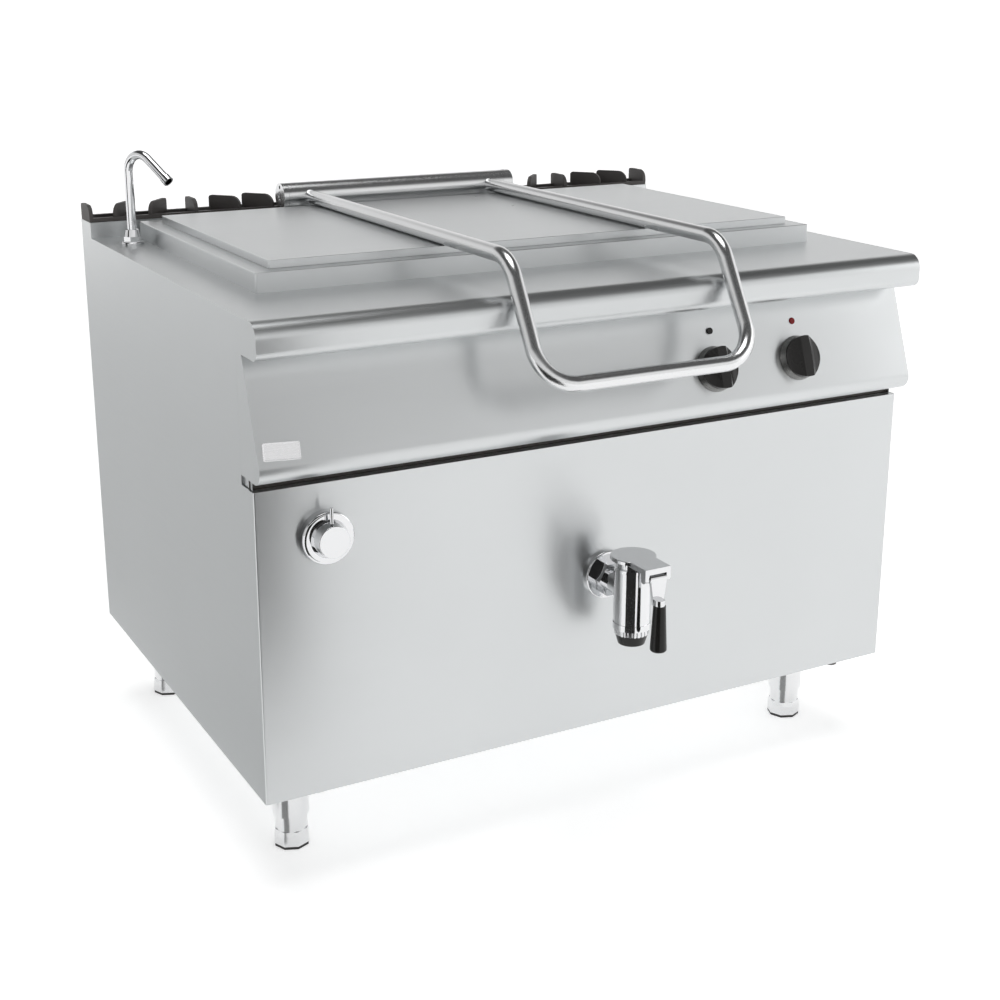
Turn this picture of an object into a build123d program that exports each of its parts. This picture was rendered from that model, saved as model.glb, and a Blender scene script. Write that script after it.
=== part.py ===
from build123d import *
import os
from math import atan2, cos, degrees, pi, radians, sin, tan

os.makedirs("parts", exist_ok=True)

# Steam jacketed boiling pan, gas heated, on four adjustable feet.
# Frame: millimetres, X to the right seen from the front, Y towards the back, Z up.
# The origin is on the floor, under the middle of the whole object.

# ---------------------------------------------------------------- main sizes
body_width = 1200.0
body_depth = 867.0
foot_height = 160.0
worktop_height = 910.0
front_reach = 170.0
sheet = 1.5
fit_gap = 0.3
running_gap = 0.05

half_width = body_width / 2
inner_half_width = half_width - sheet
front_y = (front_reach - body_depth) / 2
back_y = front_y + body_depth

# ---------------------------------------------------------------- worktop
nose_reach = 38.0
nose_height = 55.0
nose_top_radius = 24.0
nose_bottom_radius = 15.0
nose_lip_depth = 30.0
skirt_height = 58.0
side_return_depth = 46.0

worktop_underside = worktop_height - sheet
nose_y = front_y - nose_reach
nose_bottom = worktop_height - nose_height
nose_lip_y = front_y + nose_lip_depth
skirt_bottom = worktop_height - skirt_height
side_panel_front_y = front_y + side_return_depth

# ---------------------------------------------------------------- rear upstand and flues
upstand_depth = 63.0
upstand_height = 28.0
flue_width = 360.0
flue_depth = 40.0
flue_side_margin = 22.0
flue_slot_gap = 0.8
flue_wall = 2.0
flue_drop = 33.0

upstand_top = worktop_height + upstand_height
flue_center_y = back_y - upstand_depth / 2
flue_center_x = half_width - flue_side_margin - flue_width / 2

# ---------------------------------------------------------------- flue grille castings
grille_length = 400.0
grille_depth = 56.0
grille_rail_width = 9.0
grille_rail_height = 7.0
grille_plate_count = 7
grille_plate_thickness = 7.0
grille_plate_height = 29.5
grille_plate_lean = 22.0
grille_front_round = 19.0
grille_back_round = 5.0

grille_center_x = half_width - grille_length / 2
grille_bottom = upstand_top + fit_gap

# ---------------------------------------------------------------- pan rim and well
rim_half_width = 522.0
rim_front_offset = 168.0
rim_back_offset = 765.0
rim_height = 31.0
rim_sheet = 2.0
rim_corner = 4.0
well_half_width = 450.0
well_front_offset = 222.0
well_back_offset = 700.0
well_depth = 430.0
well_wall = 3.0
well_corner = 60.0
well_floor_round = 35.0
well_flange = 16.0
well_hole_gap = 0.8
rim_edge_round = 1.5

rim_top = worktop_height + rim_height
rim_front_y = front_y + rim_front_offset
rim_back_y = front_y + rim_back_offset
rim_center_y = (rim_front_y + rim_back_y) / 2
rim_depth = rim_back_y - rim_front_y
well_front_y = front_y + well_front_offset
well_back_y = front_y + well_back_offset
well_center_y = (well_front_y + well_back_y) / 2
well_length = well_back_y - well_front_y
well_top = rim_top - rim_sheet
well_floor = rim_top - well_depth

# ---------------------------------------------------------------- steam jacket
jacket_side_space = 42.0
jacket_floor_space = 145.0
jacket_wall = 3.0
jacket_top_drop = 45.0
jacket_corner = 70.0
jacket_floor_round = 30.0

jacket_half_width = well_half_width + well_wall + jacket_side_space
jacket_length = well_length + 2 * (well_wall + jacket_side_space)
jacket_top = worktop_height - jacket_top_drop
jacket_bottom = well_floor - well_wall - jacket_floor_space
flue_bottom = jacket_bottom - flue_drop

# ---------------------------------------------------------------- lid
lid_half_width = 491.0
lid_front_offset = 193.0
lid_back_offset = 729.0
lid_thickness = 12.5
lid_sheet = 1.5
lid_seat_gap = 0.3
lid_corner = 3.0
lid_edge_round = 0.8
liner_sheet = 1.2

lid_bottom = rim_top + lid_seat_gap
lid_top = lid_bottom + lid_thickness
lid_front_y = front_y + lid_front_offset
lid_back_y = front_y + lid_back_offset
lid_center_y = (lid_front_y + lid_back_y) / 2
lid_length = lid_back_y - lid_front_y

# ---------------------------------------------------------------- lid handle and hinge barrel
tube_radius = 12.5
tube_wall = 1.5
handle_half_width = 192.0
handle_bend_radius = 60.0
handle_bar_offset = 121.0
handle_bar_drop = 177.1
handle_knee_offset = 15.5
barrel_offset = 780.0
barrel_radius = 25.0
barrel_wall = 3.0
barrel_half_length = 245.0
left_end_length = 10.0
right_end_length = 22.0
hinge_shaft_radius = 9.0
bushing_length = 18.0
pedestal_depth = 26.0
end_gap = 0.4
shaft_end_recess = 1.0
tommy_hole_count = 3
spanner_hole_radius = 3.5
spanner_hole_depth = 6.0
spanner_circle_radius = 17.0

tube_height = lid_top + fit_gap + tube_radius
handle_bar_height = tube_height - handle_bar_drop
barrel_y = front_y + barrel_offset
handle_bar_y = front_y - handle_bar_offset
handle_knee_y = front_y - handle_knee_offset
barrel_bore = barrel_radius - barrel_wall
pedestal_width = left_end_length

# ---------------------------------------------------------------- control panel
panel_top_offset = 25.0
panel_lean = 19.5
panel_nose_radius = 22.0
panel_height = 183.0
control_x = 281.0
control_spacing = 170.0
knob_down = 110.8
indicator_down = 47.8
shaft_radius = 5.0
shaft_hole_radius = 7.0
indicator_radius = 5.7
indicator_dome = 2.0
indicator_rim = 1.0
indicator_length = 24.0
button_radius = 5.4
button_reach = 3.5
button_length = 7.0
button_travel = 3.0
button_round = 1.0
igniter_radius = 9.0
igniter_length = 36.0

panel_top_y = front_y + panel_top_offset
panel_top_height = nose_bottom
panel_bottom_height = panel_top_height - panel_height
panel_skin_run = sheet / cos(radians(panel_lean))
panel_corner_y = panel_top_y - (panel_top_height - panel_bottom_height) * tan(radians(panel_lean))
panel_inner_corner_y = (
    panel_top_y
    + panel_skin_run
    - (panel_top_height - panel_bottom_height - sheet) * tan(radians(panel_lean))
)
panel_normal = Vector(0, -cos(radians(panel_lean)), sin(radians(panel_lean)))
fascia_plane = Plane(origin=(0, panel_top_y, panel_top_height), x_dir=(1, 0, 0), z_dir=panel_normal)
knob_x = [control_x - control_spacing / 2, control_x + control_spacing / 2]

# ---------------------------------------------------------------- knobs
skirt_base_radius = 37.8
skirt_top_radius = 35.2
skirt_ring_height = 13.4
skirt_floor = 3.0
skirt_wall = 4.0
knob_radius = 34.6
knob_height = 13.0
knob_base_height = 2.0
knob_grip_width = 17.0
knob_scoop_radius = 34.0
knob_gap = 0.6
shaft_socket_depth = 6.0
shaft_length = 52.0

knob_seat = knob_gap + skirt_ring_height

# ---------------------------------------------------------------- side, front and rear panels
front_gap = 15.0
front_bend_radius = 3.0
panel_flange = 15.0
base_sheet = 2.0
base_flange_height = 40.0
vent_slot_length = 80.0
vent_slot_width = 10.0
vent_slot_columns = 6
vent_slot_rows = 3
vent_pitch_x = 120.0
vent_pitch_y = 60.0
rear_slot_drop = 120.0
rear_slot_pitch = 24.0
crossbar_offset = 18.5
crossbar_drop = 42.0
crossbar_fold = 10.0
base_gap = 0.3

front_panel_top = panel_bottom_height - front_gap

# ---------------------------------------------------------------- feet
foot_side_inset = 93.0
foot_front_inset = 145.0
foot_back_inset = 60.0
socket_radius = 30.0
socket_length = 103.0
socket_flange_radius = 42.0
socket_flange_thickness = 3.0
leg_radius = 26.0
leg_overlap = 80.0
octagon_sides = 8
octagon_radius = 30.0
octagon_height = 15.0
octagon_flare = 10.0
pad_thickness = 5.0
pad_inset = 0.6

foot_x = half_width - foot_side_inset
foot_front_y = front_y + foot_front_inset
foot_back_y = back_y - foot_back_inset

# ---------------------------------------------------------------- drain tap
tap_drop = 84.5
tap_reach = 80.0
tap_flange_radius = 41.0
tap_flange_thickness = 8.0
tap_flange_round = 2.5
tap_nut_radius = 31.0
tap_nut_length = 22.0
hexagon_sides = 6
tap_neck_radius = 22.0
tap_neck_bore = 18.0
tap_body_radius = 30.0
tap_body_bore = 24.0
tap_body_drop = 63.5
tap_body_rise = 39.5
tap_band_radius = 31.0
tap_band_height = 10.0
tap_top_band_height = 5.0
tap_seat_radius = 19.0
tap_seat_thickness = 5.0
tap_ring_radius = 28.0
tap_ring_height = 10.0
tap_ring_flutes = 24
tap_ring_flute_radius = 1.6
tap_cone_top_radius = 27.0
tap_cone_bottom_radius = 22.0
tap_cone_height = 17.0
tap_outlet_bore = 18.0
cap_radius = 37.0
cap_thickness = 6.0
cap_round = 1.5
cap_neck_radius = 27.0
cap_neck_height = 13.0
beak_reach = 70.0
beak_half_width = 23.5
beak_thickness = 9.0
ear_thickness = 7.5
ear_drop = 24.0
ear_depth = 13.0
lever_pivot_drop = 17.0
lever_eye_radius = 6.5
lever_blade_thickness = 6.0
lever_top_width = 30.0
lever_bottom_width = 17.0
lever_length = 43.0
lever_pin_radius = 3.0
grip_top_radius = 10.0
grip_bottom_radius = 13.6
grip_length = 76.0
grip_core_radius = 4.0
grip_core_length = 60.0
grip_round = 4.0
lever_collar_radius = 8.5
lever_collar_height = 10.0
plunger_disc_thickness = 6.0
plunger_stem_radius = 5.0
plunger_stem_length = 75.0
plunger_gap = 0.3

tap_y = front_y - tap_reach
tap_height = well_floor - tap_drop
tap_body_bottom = tap_height - tap_body_drop
tap_body_top = tap_height + tap_body_rise
cap_top = tap_body_top + cap_neck_height + cap_thickness
beak_y = tap_y - beak_reach
lever_pivot_y = beak_y + lever_eye_radius - lever_blade_thickness / 2
lever_pivot_z = cap_top - lever_pivot_drop
grip_y = front_y - front_reach + grip_bottom_radius
grip_top = lever_pivot_z - lever_length

# ---------------------------------------------------------------- drain pipe from the well
drain_pipe_radius = 24.0
drain_pipe_wall = 2.5
drain_inset = 60.0
drain_elbow_radius = 45.0

drain_y = well_front_y + drain_inset

# ---------------------------------------------------------------- water valve and spout
valve_inset = 109.3
valve_drop = 82.0
rosette_radius = 41.5
rosette_thickness = 16.0
rosette_round = 5.0
hub_base_radius = 29.6
hub_face_radius = 24.4
hub_length = 19.0
hub_round = 1.2
lever_rod_radius = 2.8
lever_rod_reach = 51.0
lever_rod_round = 0.8
valve_stem_radius = 8.0
valve_stem_length = 40.0
valve_body_radius = 23.0
valve_body_depth = 60.0
water_pipe_radius = 7.5
water_pipe_wall = 1.0
water_pipe_bend = 30.0
water_pipe_drop = 130.0
water_nipple_radius = 10.5
nipple_length = 20.0
supply_drop = 30.0
spout_inset = 49.0
spout_offset = 710.0
spout_heading = -62.0
spout_radius = 8.0
spout_wall = 1.0
spout_bend_radius = 30.0
spout_rise = 128.0
spout_drop = 37.0
spout_leg = 60.0
spout_tip_radius = 9.2
spout_tip_length = 11.0
spout_rosette_radius = 20.0
spout_rosette_height = 5.0
spout_nut_radius = 15.5
spout_nut_height = 9.0
spout_cone_height = 12.0
spout_cone_top_radius = 11.0
spout_tail = 20.0

valve_x = valve_inset - half_width
valve_height = front_panel_top - valve_drop
water_pipe_height = worktop_height - water_pipe_drop
spout_x = spout_inset - half_width
spout_y = front_y + spout_offset
spout_bend_height = worktop_height + spout_rise
spout_nut_top = worktop_height + spout_rosette_height + spout_nut_height + spout_cone_height

# ---------------------------------------------------------------- burners and gas line
burner_count = 3
burner_radius = 25.0
burner_wall = 1.5
burner_length = 840.0
burner_pitch = 130.0
burner_rise = 72.0
burner_slot_length = 14.0
burner_slot_width = 4.0
burner_slot_pitch = 40.0
burner_slot_count = 18
bracket_thickness = 3.0
bracket_width = 40.0
bracket_inset = 60.0
manifold_radius = 11.0
manifold_bore = 9.0
gas_nipple_radius = 13.2
gas_inlet_inset = 60.0
gas_bend = 30.0
feed_radius = 6.0
feed_gap = 25.0
feed_bend = 18.0
feed_step = 24.0
feed_turn_rise = 68.0
injector_radius = 4.0
control_valve_width = 50.0
control_valve_height = 60.0
control_valve_depth = 62.0
control_valve_corner = 6.0

gas_inlet_x = half_width - gas_inlet_inset
burner_end_x = burner_length / 2
burner_height = foot_height + burner_rise
feed_x = burner_end_x + feed_gap
feed_turn_height = burner_height + feed_turn_rise
bracket_length = (burner_count - 1) * burner_pitch + 2 * burner_radius
gas_line = fascia_plane.from_local_coords(
    (0, -knob_down, -(sheet + control_valve_depth + fit_gap + manifold_radius))
)
supply_y = gas_line.Y

# =================================================================== cabinet
# Worktop: one folded sheet with a rounded nose, side skirts and closed nose ends.
with BuildPart() as worktop:
    with BuildSketch(Plane.YZ.offset(-half_width)):
        with BuildLine():
            Polyline(
                (nose_y + nose_bottom_radius, nose_bottom),
                (side_panel_front_y, nose_bottom),
                (side_panel_front_y, skirt_bottom),
                (back_y, skirt_bottom),
                (back_y, worktop_height),
                (nose_y + nose_top_radius, worktop_height),
            )
            RadiusArc(
                (nose_y + nose_top_radius, worktop_height),
                (nose_y, worktop_height - nose_top_radius),
                -nose_top_radius,
            )
            Line((nose_y, worktop_height - nose_top_radius), (nose_y, nose_bottom + nose_bottom_radius))
            RadiusArc(
                (nose_y, nose_bottom + nose_bottom_radius),
                (nose_y + nose_bottom_radius, nose_bottom),
                -nose_bottom_radius,
            )
        make_face()
    extrude(amount=body_width)
    with BuildSketch(Plane.YZ.offset(-inner_half_width)):
        with BuildLine():
            Polyline(
                (nose_y + nose_bottom_radius, nose_bottom + sheet),
                (nose_lip_y, nose_bottom + sheet),
                (nose_lip_y, skirt_bottom - sheet),
                (back_y - sheet, skirt_bottom - sheet),
                (back_y - sheet, worktop_underside),
                (nose_y + nose_top_radius, worktop_underside),
            )
            RadiusArc(
                (nose_y + nose_top_radius, worktop_underside),
                (nose_y + sheet, worktop_height - nose_top_radius),
                -(nose_top_radius - sheet),
            )
            Line(
                (nose_y + sheet, worktop_height - nose_top_radius),
                (nose_y + sheet, nose_bottom + nose_bottom_radius),
            )
            RadiusArc(
                (nose_y + sheet, nose_bottom + nose_bottom_radius),
                (nose_y + nose_bottom_radius, nose_bottom + sheet),
                -(nose_bottom_radius - sheet),
            )
        make_face()
    extrude(amount=2 * inner_half_width, mode=Mode.SUBTRACT)
    with BuildSketch(Plane.XY.offset(worktop_height)):
        with Locations((0, well_center_y)):
            RectangleRounded(
                2 * (well_half_width + well_wall + well_hole_gap),
                well_length + 2 * (well_wall + well_hole_gap),
                well_corner,
            )
        with Locations((-flue_center_x, flue_center_y), (flue_center_x, flue_center_y)):
            Rectangle(flue_width + 2 * flue_slot_gap, flue_depth + 2 * flue_slot_gap)
        with Locations((spout_x, spout_y)):
            Circle(spout_radius + fit_gap)
    extrude(amount=-2 * sheet, mode=Mode.SUBTRACT)
worktop.part.label = "worktop"
export_step(worktop.part, "parts/worktop.step")

# Rear upstand: a hollow step behind the pan that carries the two flue grilles.
with BuildPart() as rear_upstand:
    with BuildSketch(Plane.XY.offset(worktop_height)):
        with Locations((0, flue_center_y)):
            Rectangle(body_width, upstand_depth)
    extrude(amount=upstand_height)
    with BuildSketch(Plane.XY.offset(worktop_height)):
        with Locations((0, flue_center_y)):
            Rectangle(2 * inner_half_width, upstand_depth - 2 * sheet)
    extrude(amount=upstand_height - sheet, mode=Mode.SUBTRACT)
    with BuildSketch(Plane.XY.offset(upstand_top)):
        with Locations((-flue_center_x, flue_center_y), (flue_center_x, flue_center_y)):
            Rectangle(flue_width - 2 * flue_wall, flue_depth - 2 * flue_wall)
    extrude(amount=-2 * sheet, mode=Mode.SUBTRACT)
rear_upstand.part.label = "rear_upstand"
export_step(rear_upstand.part, "parts/rear_upstand.step")

# Pan rim: a raised hollow frame around the mouth of the well.
with BuildPart() as pan_rim:
    with BuildSketch(Plane.XY.offset(worktop_height)):
        with Locations((0, rim_center_y)):
            RectangleRounded(2 * rim_half_width, rim_depth, rim_corner)
    extrude(amount=rim_height)
    fillet(pan_rim.faces().sort_by(Axis.Z)[-1].edges(), radius=rim_edge_round)
    with BuildSketch(Plane.XY.offset(worktop_height)):
        with Locations((0, rim_center_y)):
            Rectangle(2 * (rim_half_width - rim_sheet), rim_depth - 2 * rim_sheet)
    extrude(amount=rim_height - rim_sheet, mode=Mode.SUBTRACT)
    with BuildSketch(Plane.XY.offset(worktop_height)):
        with Locations((0, well_center_y)):
            RectangleRounded(2 * well_half_width, well_length, well_corner)
    extrude(amount=rim_height, mode=Mode.SUBTRACT)
pan_rim.part.label = "pan_rim"
export_step(pan_rim.part, "parts/pan_rim.step")

# Cooking well: deep drawn, with rounded corners, a hanging flange and a floor outlet.
with BuildPart() as cooking_well:
    with BuildSketch(Plane.XY.offset(well_floor - well_wall)):
        with Locations((0, well_center_y)):
            RectangleRounded(
                2 * (well_half_width + well_wall), well_length + 2 * well_wall, well_corner + well_wall
            )
    extrude(amount=well_top - well_floor + well_wall)
    fillet(cooking_well.faces().sort_by(Axis.Z)[0].edges(), radius=well_floor_round + well_wall)
    offset(amount=-well_wall, openings=cooking_well.faces().sort_by(Axis.Z)[-1])
    with BuildSketch(Plane.XY.offset(well_top)):
        with Locations((0, well_center_y)):
            RectangleRounded(
                2 * (well_half_width + well_flange), well_length + 2 * well_flange, well_corner + well_flange
            )
            RectangleRounded(2 * well_half_width, well_length, well_corner, mode=Mode.SUBTRACT)
    extrude(amount=-well_wall)
    with BuildSketch(Plane.XY.offset(well_floor)):
        with Locations((0, drain_y)):
            Circle(drain_pipe_radius - drain_pipe_wall)
    extrude(amount=-2 * well_wall, mode=Mode.SUBTRACT)
cooking_well.part.label = "cooking_well"
export_step(cooking_well.part, "parts/cooking_well.step")

# Steam jacket: an outer tub around the well, closed to it by a top ring.
with BuildPart() as steam_jacket:
    with BuildSketch(Plane.XY.offset(jacket_bottom)):
        with Locations((0, well_center_y)):
            RectangleRounded(2 * jacket_half_width, jacket_length, jacket_corner)
    extrude(amount=jacket_top - jacket_bottom)
    fillet(steam_jacket.faces().sort_by(Axis.Z)[0].edges(), radius=jacket_floor_round)
    offset(amount=-jacket_wall, openings=steam_jacket.faces().sort_by(Axis.Z)[-1])
    with BuildSketch(Plane.XY.offset(jacket_top)):
        with Locations((0, well_center_y)):
            RectangleRounded(2 * jacket_half_width, jacket_length, jacket_corner)
            RectangleRounded(
                2 * (well_half_width + well_wall + fit_gap),
                well_length + 2 * (well_wall + fit_gap),
                well_corner + well_wall + fit_gap,
                mode=Mode.SUBTRACT,
            )
    extrude(amount=-jacket_wall)
    with BuildSketch(Plane.XZ.offset(-well_center_y)):
        with Locations((0, tap_height)):
            Circle(drain_pipe_radius + fit_gap)
    extrude(amount=jacket_length, mode=Mode.SUBTRACT)
steam_jacket.part.label = "steam_jacket"
export_step(steam_jacket.part, "parts/steam_jacket.step")

# Side panels: plain outside, with a narrow fold inwards at the front and at the back.
for side_name, side_sign in (("left", -1), ("right", 1)):
    with BuildPart() as side_panel:
        with BuildSketch(Plane.XY.offset(foot_height)):
            with BuildLine():
                Polyline(
                    (side_sign * half_width, side_panel_front_y),
                    (side_sign * half_width, back_y),
                    (side_sign * inner_half_width, back_y),
                    (side_sign * inner_half_width, back_y - sheet),
                    (side_sign * (half_width - panel_flange), back_y - sheet),
                    (side_sign * (half_width - panel_flange), back_y - 2 * sheet),
                    (side_sign * inner_half_width, back_y - 2 * sheet),
                    (side_sign * inner_half_width, side_panel_front_y + sheet),
                    (side_sign * (half_width - panel_flange), side_panel_front_y + sheet),
                    (side_sign * (half_width - panel_flange), side_panel_front_y),
                    close=True,
                )
            make_face()
        extrude(amount=skirt_bottom - foot_height)
    side_panel.part.label = "side_panel_" + side_name
    export_step(side_panel.part, "parts/side_panel_" + side_name + ".step")

# Front panel: full width, with side returns, a top fold and holes for the tap and the water valve.
with BuildPart() as front_panel:
    with BuildSketch(Plane.XY.offset(foot_height)) as front_section:
        with BuildLine():
            Polyline(
                (-half_width, front_y),
                (half_width, front_y),
                (half_width, side_panel_front_y),
                (inner_half_width, side_panel_front_y),
                (inner_half_width, front_y + sheet),
                (-inner_half_width, front_y + sheet),
                (-inner_half_width, side_panel_front_y),
                (-half_width, side_panel_front_y),
                close=True,
            )
        make_face()
        fillet(front_section.vertices().group_by(Axis.Y)[1], radius=front_bend_radius - sheet)
        fillet(front_section.vertices().group_by(Axis.Y)[0], radius=front_bend_radius)
    extrude(amount=front_panel_top - foot_height)
    with BuildSketch(Plane.XY.offset(front_panel_top)):
        with Locations((0, front_y)):
            Rectangle(2 * (half_width - front_bend_radius), panel_flange, align=(Align.CENTER, Align.MIN))
    extrude(amount=-sheet)
    with BuildSketch(Plane.XZ.offset(-front_y)):
        with Locations((0, tap_height)):
            Circle(drain_pipe_radius + fit_gap)
        with Locations((valve_x, valve_height)):
            Circle(valve_stem_radius + fit_gap)
    extrude(amount=-2 * sheet, mode=Mode.SUBTRACT)
front_panel.part.label = "front_panel"
export_step(front_panel.part, "parts/front_panel.step")

# Rear panel: flat, between the side panels, with rows of air slots near the top.
with BuildPart() as rear_panel:
    with BuildSketch(Plane.XZ.offset(-back_y)):
        with Locations((0, (foot_height + skirt_bottom) / 2)):
            Rectangle(2 * (inner_half_width - fit_gap), skirt_bottom - foot_height)
        with Locations((0, skirt_bottom - rear_slot_drop)):
            with GridLocations(vent_pitch_x, rear_slot_pitch, vent_slot_columns, vent_slot_rows):
                SlotOverall(vent_slot_length, vent_slot_width, mode=Mode.SUBTRACT)
    extrude(amount=sheet)
rear_panel.part.label = "rear_panel"
export_step(rear_panel.part, "parts/rear_panel.step")

# Base tray: floor sheet with upturned edges, air slots, holes for the two supply pipes and
# two welded brackets that carry the burner tubes.
with BuildPart() as base_tray:
    with BuildSketch(Plane.XY.offset(foot_height)):
        with Locations((0, (front_y + back_y) / 2)):
            Rectangle(2 * (inner_half_width - base_gap), body_depth - 4 * (sheet + base_gap))
    extrude(amount=base_flange_height)
    with BuildSketch(Plane.XY.offset(foot_height + base_sheet)):
        with Locations((0, (front_y + back_y) / 2)):
            Rectangle(
                2 * (inner_half_width - base_gap - base_sheet),
                body_depth - 4 * (sheet + base_gap) - 2 * base_sheet,
            )
    extrude(amount=base_flange_height, mode=Mode.SUBTRACT)
    with BuildSketch(Plane.XY.offset(foot_height)):
        with Locations((0, well_center_y)):
            with GridLocations(vent_pitch_x, vent_pitch_y, vent_slot_columns, vent_slot_rows):
                SlotOverall(vent_slot_length, vent_slot_width)
        with Locations((gas_inlet_x, supply_y)):
            Circle(manifold_radius + fit_gap)
        with Locations((valve_x, supply_y)):
            Circle(water_pipe_radius + fit_gap)
    extrude(amount=base_sheet, mode=Mode.SUBTRACT)
    with BuildSketch(Plane.XY.offset(foot_height)):
        with Locations((-half_width, side_panel_front_y), (half_width, side_panel_front_y)):
            Rectangle(2 * (panel_flange + base_gap), 2 * (sheet + base_gap))
    extrude(amount=base_flange_height, mode=Mode.SUBTRACT)
    for bracket_sign in (-1, 1):
        bracket_x = bracket_sign * (burner_end_x - bracket_inset)
        with BuildSketch(Plane.XZ.offset(-(well_center_y - bracket_length / 2))):
            with Locations((bracket_x - bracket_width / 2, foot_height + base_sheet)):
                Rectangle(
                    bracket_thickness,
                    burner_height - burner_radius - foot_height - base_sheet,
                    align=(Align.MIN, Align.MIN),
                )
            with Locations((bracket_x, burner_height - burner_radius - bracket_thickness)):
                Rectangle(bracket_width, bracket_thickness, align=(Align.CENTER, Align.MIN))
        extrude(amount=-bracket_length)
base_tray.part.label = "base_tray"
export_step(base_tray.part, "parts/base_tray.step")

# Control panel: a hollow slanted fascia that rolls under at its foot, with closed ends.
with BuildPart() as control_panel:
    with BuildSketch(Plane.YZ.offset(-half_width)) as fascia_outer:
        with BuildLine():
            Polyline(
                (panel_top_y, panel_top_height),
                (panel_corner_y, panel_bottom_height),
                (side_panel_front_y, panel_bottom_height),
                (side_panel_front_y, panel_top_height),
                close=True,
            )
        make_face()
        fillet(fascia_outer.vertices().sort_by(Axis.Y)[0], radius=panel_nose_radius)
    extrude(amount=body_width)
    with BuildSketch(Plane.YZ.offset(-inner_half_width)) as fascia_inner:
        with BuildLine():
            Polyline(
                (panel_top_y + panel_skin_run, panel_top_height),
                (panel_inner_corner_y, panel_bottom_height + sheet),
                (side_panel_front_y, panel_bottom_height + sheet),
                (side_panel_front_y, panel_top_height),
                close=True,
            )
        make_face()
        fillet(fascia_inner.vertices().sort_by(Axis.Y)[0], radius=panel_nose_radius - sheet)
    extrude(amount=2 * inner_half_width, mode=Mode.SUBTRACT)
    with BuildSketch(fascia_plane):
        with Locations((knob_x[0], -knob_down), (knob_x[1], -knob_down)):
            Circle(shaft_hole_radius)
        with Locations((knob_x[0], -indicator_down)):
            Circle(button_radius + fit_gap)
        with Locations((knob_x[1], -indicator_down)):
            Circle(indicator_radius - indicator_rim)
    extrude(amount=-2 * sheet, mode=Mode.SUBTRACT)
control_panel.part.label = "control_panel"
export_step(control_panel.part, "parts/control_panel.step")

# Flue ducts: two flat rectangular pipes that lead the burnt gas up to the grilles.
with BuildPart() as flue_ducts:
    with BuildSketch(Plane.XY.offset(flue_bottom)):
        with Locations((-flue_center_x, flue_center_y), (flue_center_x, flue_center_y)):
            Rectangle(flue_width, flue_depth)
            Rectangle(flue_width - 2 * flue_wall, flue_depth - 2 * flue_wall, mode=Mode.SUBTRACT)
    extrude(amount=upstand_top - sheet - flue_bottom)
flue_ducts.part.label = "flue_ducts"
export_step(flue_ducts.part, "parts/flue_ducts.step")


# =================================================================== flue grille castings
# Each grille is a ladder frame with upright plates. The end plates and the middle plate stand
# square; the pairs between them lean one way on the left half and the other on the right half.
grille_pitch = (grille_length - grille_plate_thickness) / (grille_plate_count - 1)
grille_lean_angle = degrees(atan2(2 * grille_plate_lean, grille_depth - grille_plate_thickness))
for side_name, side_sign in (("left", -1), ("right", 1)):
    with BuildPart() as flue_grille:
        with BuildSketch(Plane.XY.offset(grille_bottom)):
            with Locations((side_sign * grille_center_x, flue_center_y)):
                Rectangle(grille_length, grille_depth)
                Rectangle(
                    grille_length - 2 * grille_plate_thickness,
                    grille_depth - 2 * grille_rail_width,
                    mode=Mode.SUBTRACT,
                )
        extrude(amount=grille_rail_height)
        for index in range(grille_plate_count):
            place = index - (grille_plate_count - 1) / 2
            is_square = index in (0, (grille_plate_count - 1) // 2, grille_plate_count - 1)
            if is_square:
                turn = 0
                depth = grille_depth
            else:
                turn = grille_lean_angle if place > 0 else -grille_lean_angle
                depth = (grille_depth - grille_plate_thickness) / cos(radians(turn))
            plate_plane = Plane(
                origin=(side_sign * grille_center_x + place * grille_pitch, flue_center_y, grille_bottom),
                x_dir=(sin(radians(-turn)), cos(radians(turn)), 0),
                z_dir=(cos(radians(turn)), sin(radians(turn)), 0),
            )
            # Side view of a plate: a large round at its top front, a small one at its top back.
            with BuildSketch(plate_plane.offset(-grille_plate_thickness / 2)) as plate:
                Rectangle(depth, grille_plate_height, align=(Align.CENTER, Align.MIN))
                front_corner = plate.vertices().group_by(Axis.Y)[-1].sort_by(Axis.X)[0]
                fillet(front_corner, radius=grille_front_round)
                back_corner = plate.vertices().group_by(Axis.Y)[-1].sort_by(Axis.X)[-1]
                fillet(back_corner, radius=grille_back_round)
            extrude(amount=grille_plate_thickness)
    flue_grille.part.label = "flue_grille_" + side_name
    export_step(flue_grille.part, "parts/flue_grille_" + side_name + ".step")

# =================================================================== lid and hinge
# Lid skin: a shallow upside-down tray of folded sheet.
with BuildPart() as lid_skin:
    with BuildSketch(Plane.XY.offset(lid_bottom)):
        with Locations((0, lid_center_y)):
            RectangleRounded(2 * lid_half_width, lid_length, lid_corner)
    extrude(amount=lid_thickness)
    fillet(lid_skin.faces().sort_by(Axis.Z)[-1].edges(), radius=lid_edge_round)
    with BuildSketch(Plane.XY.offset(lid_bottom)):
        with Locations((0, lid_center_y)):
            Rectangle(2 * (lid_half_width - lid_sheet), lid_length - 2 * lid_sheet)
    extrude(amount=lid_thickness - lid_sheet, mode=Mode.SUBTRACT)
lid_skin.part.label = "lid_skin"
export_step(lid_skin.part, "parts/lid_skin.step")

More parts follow.
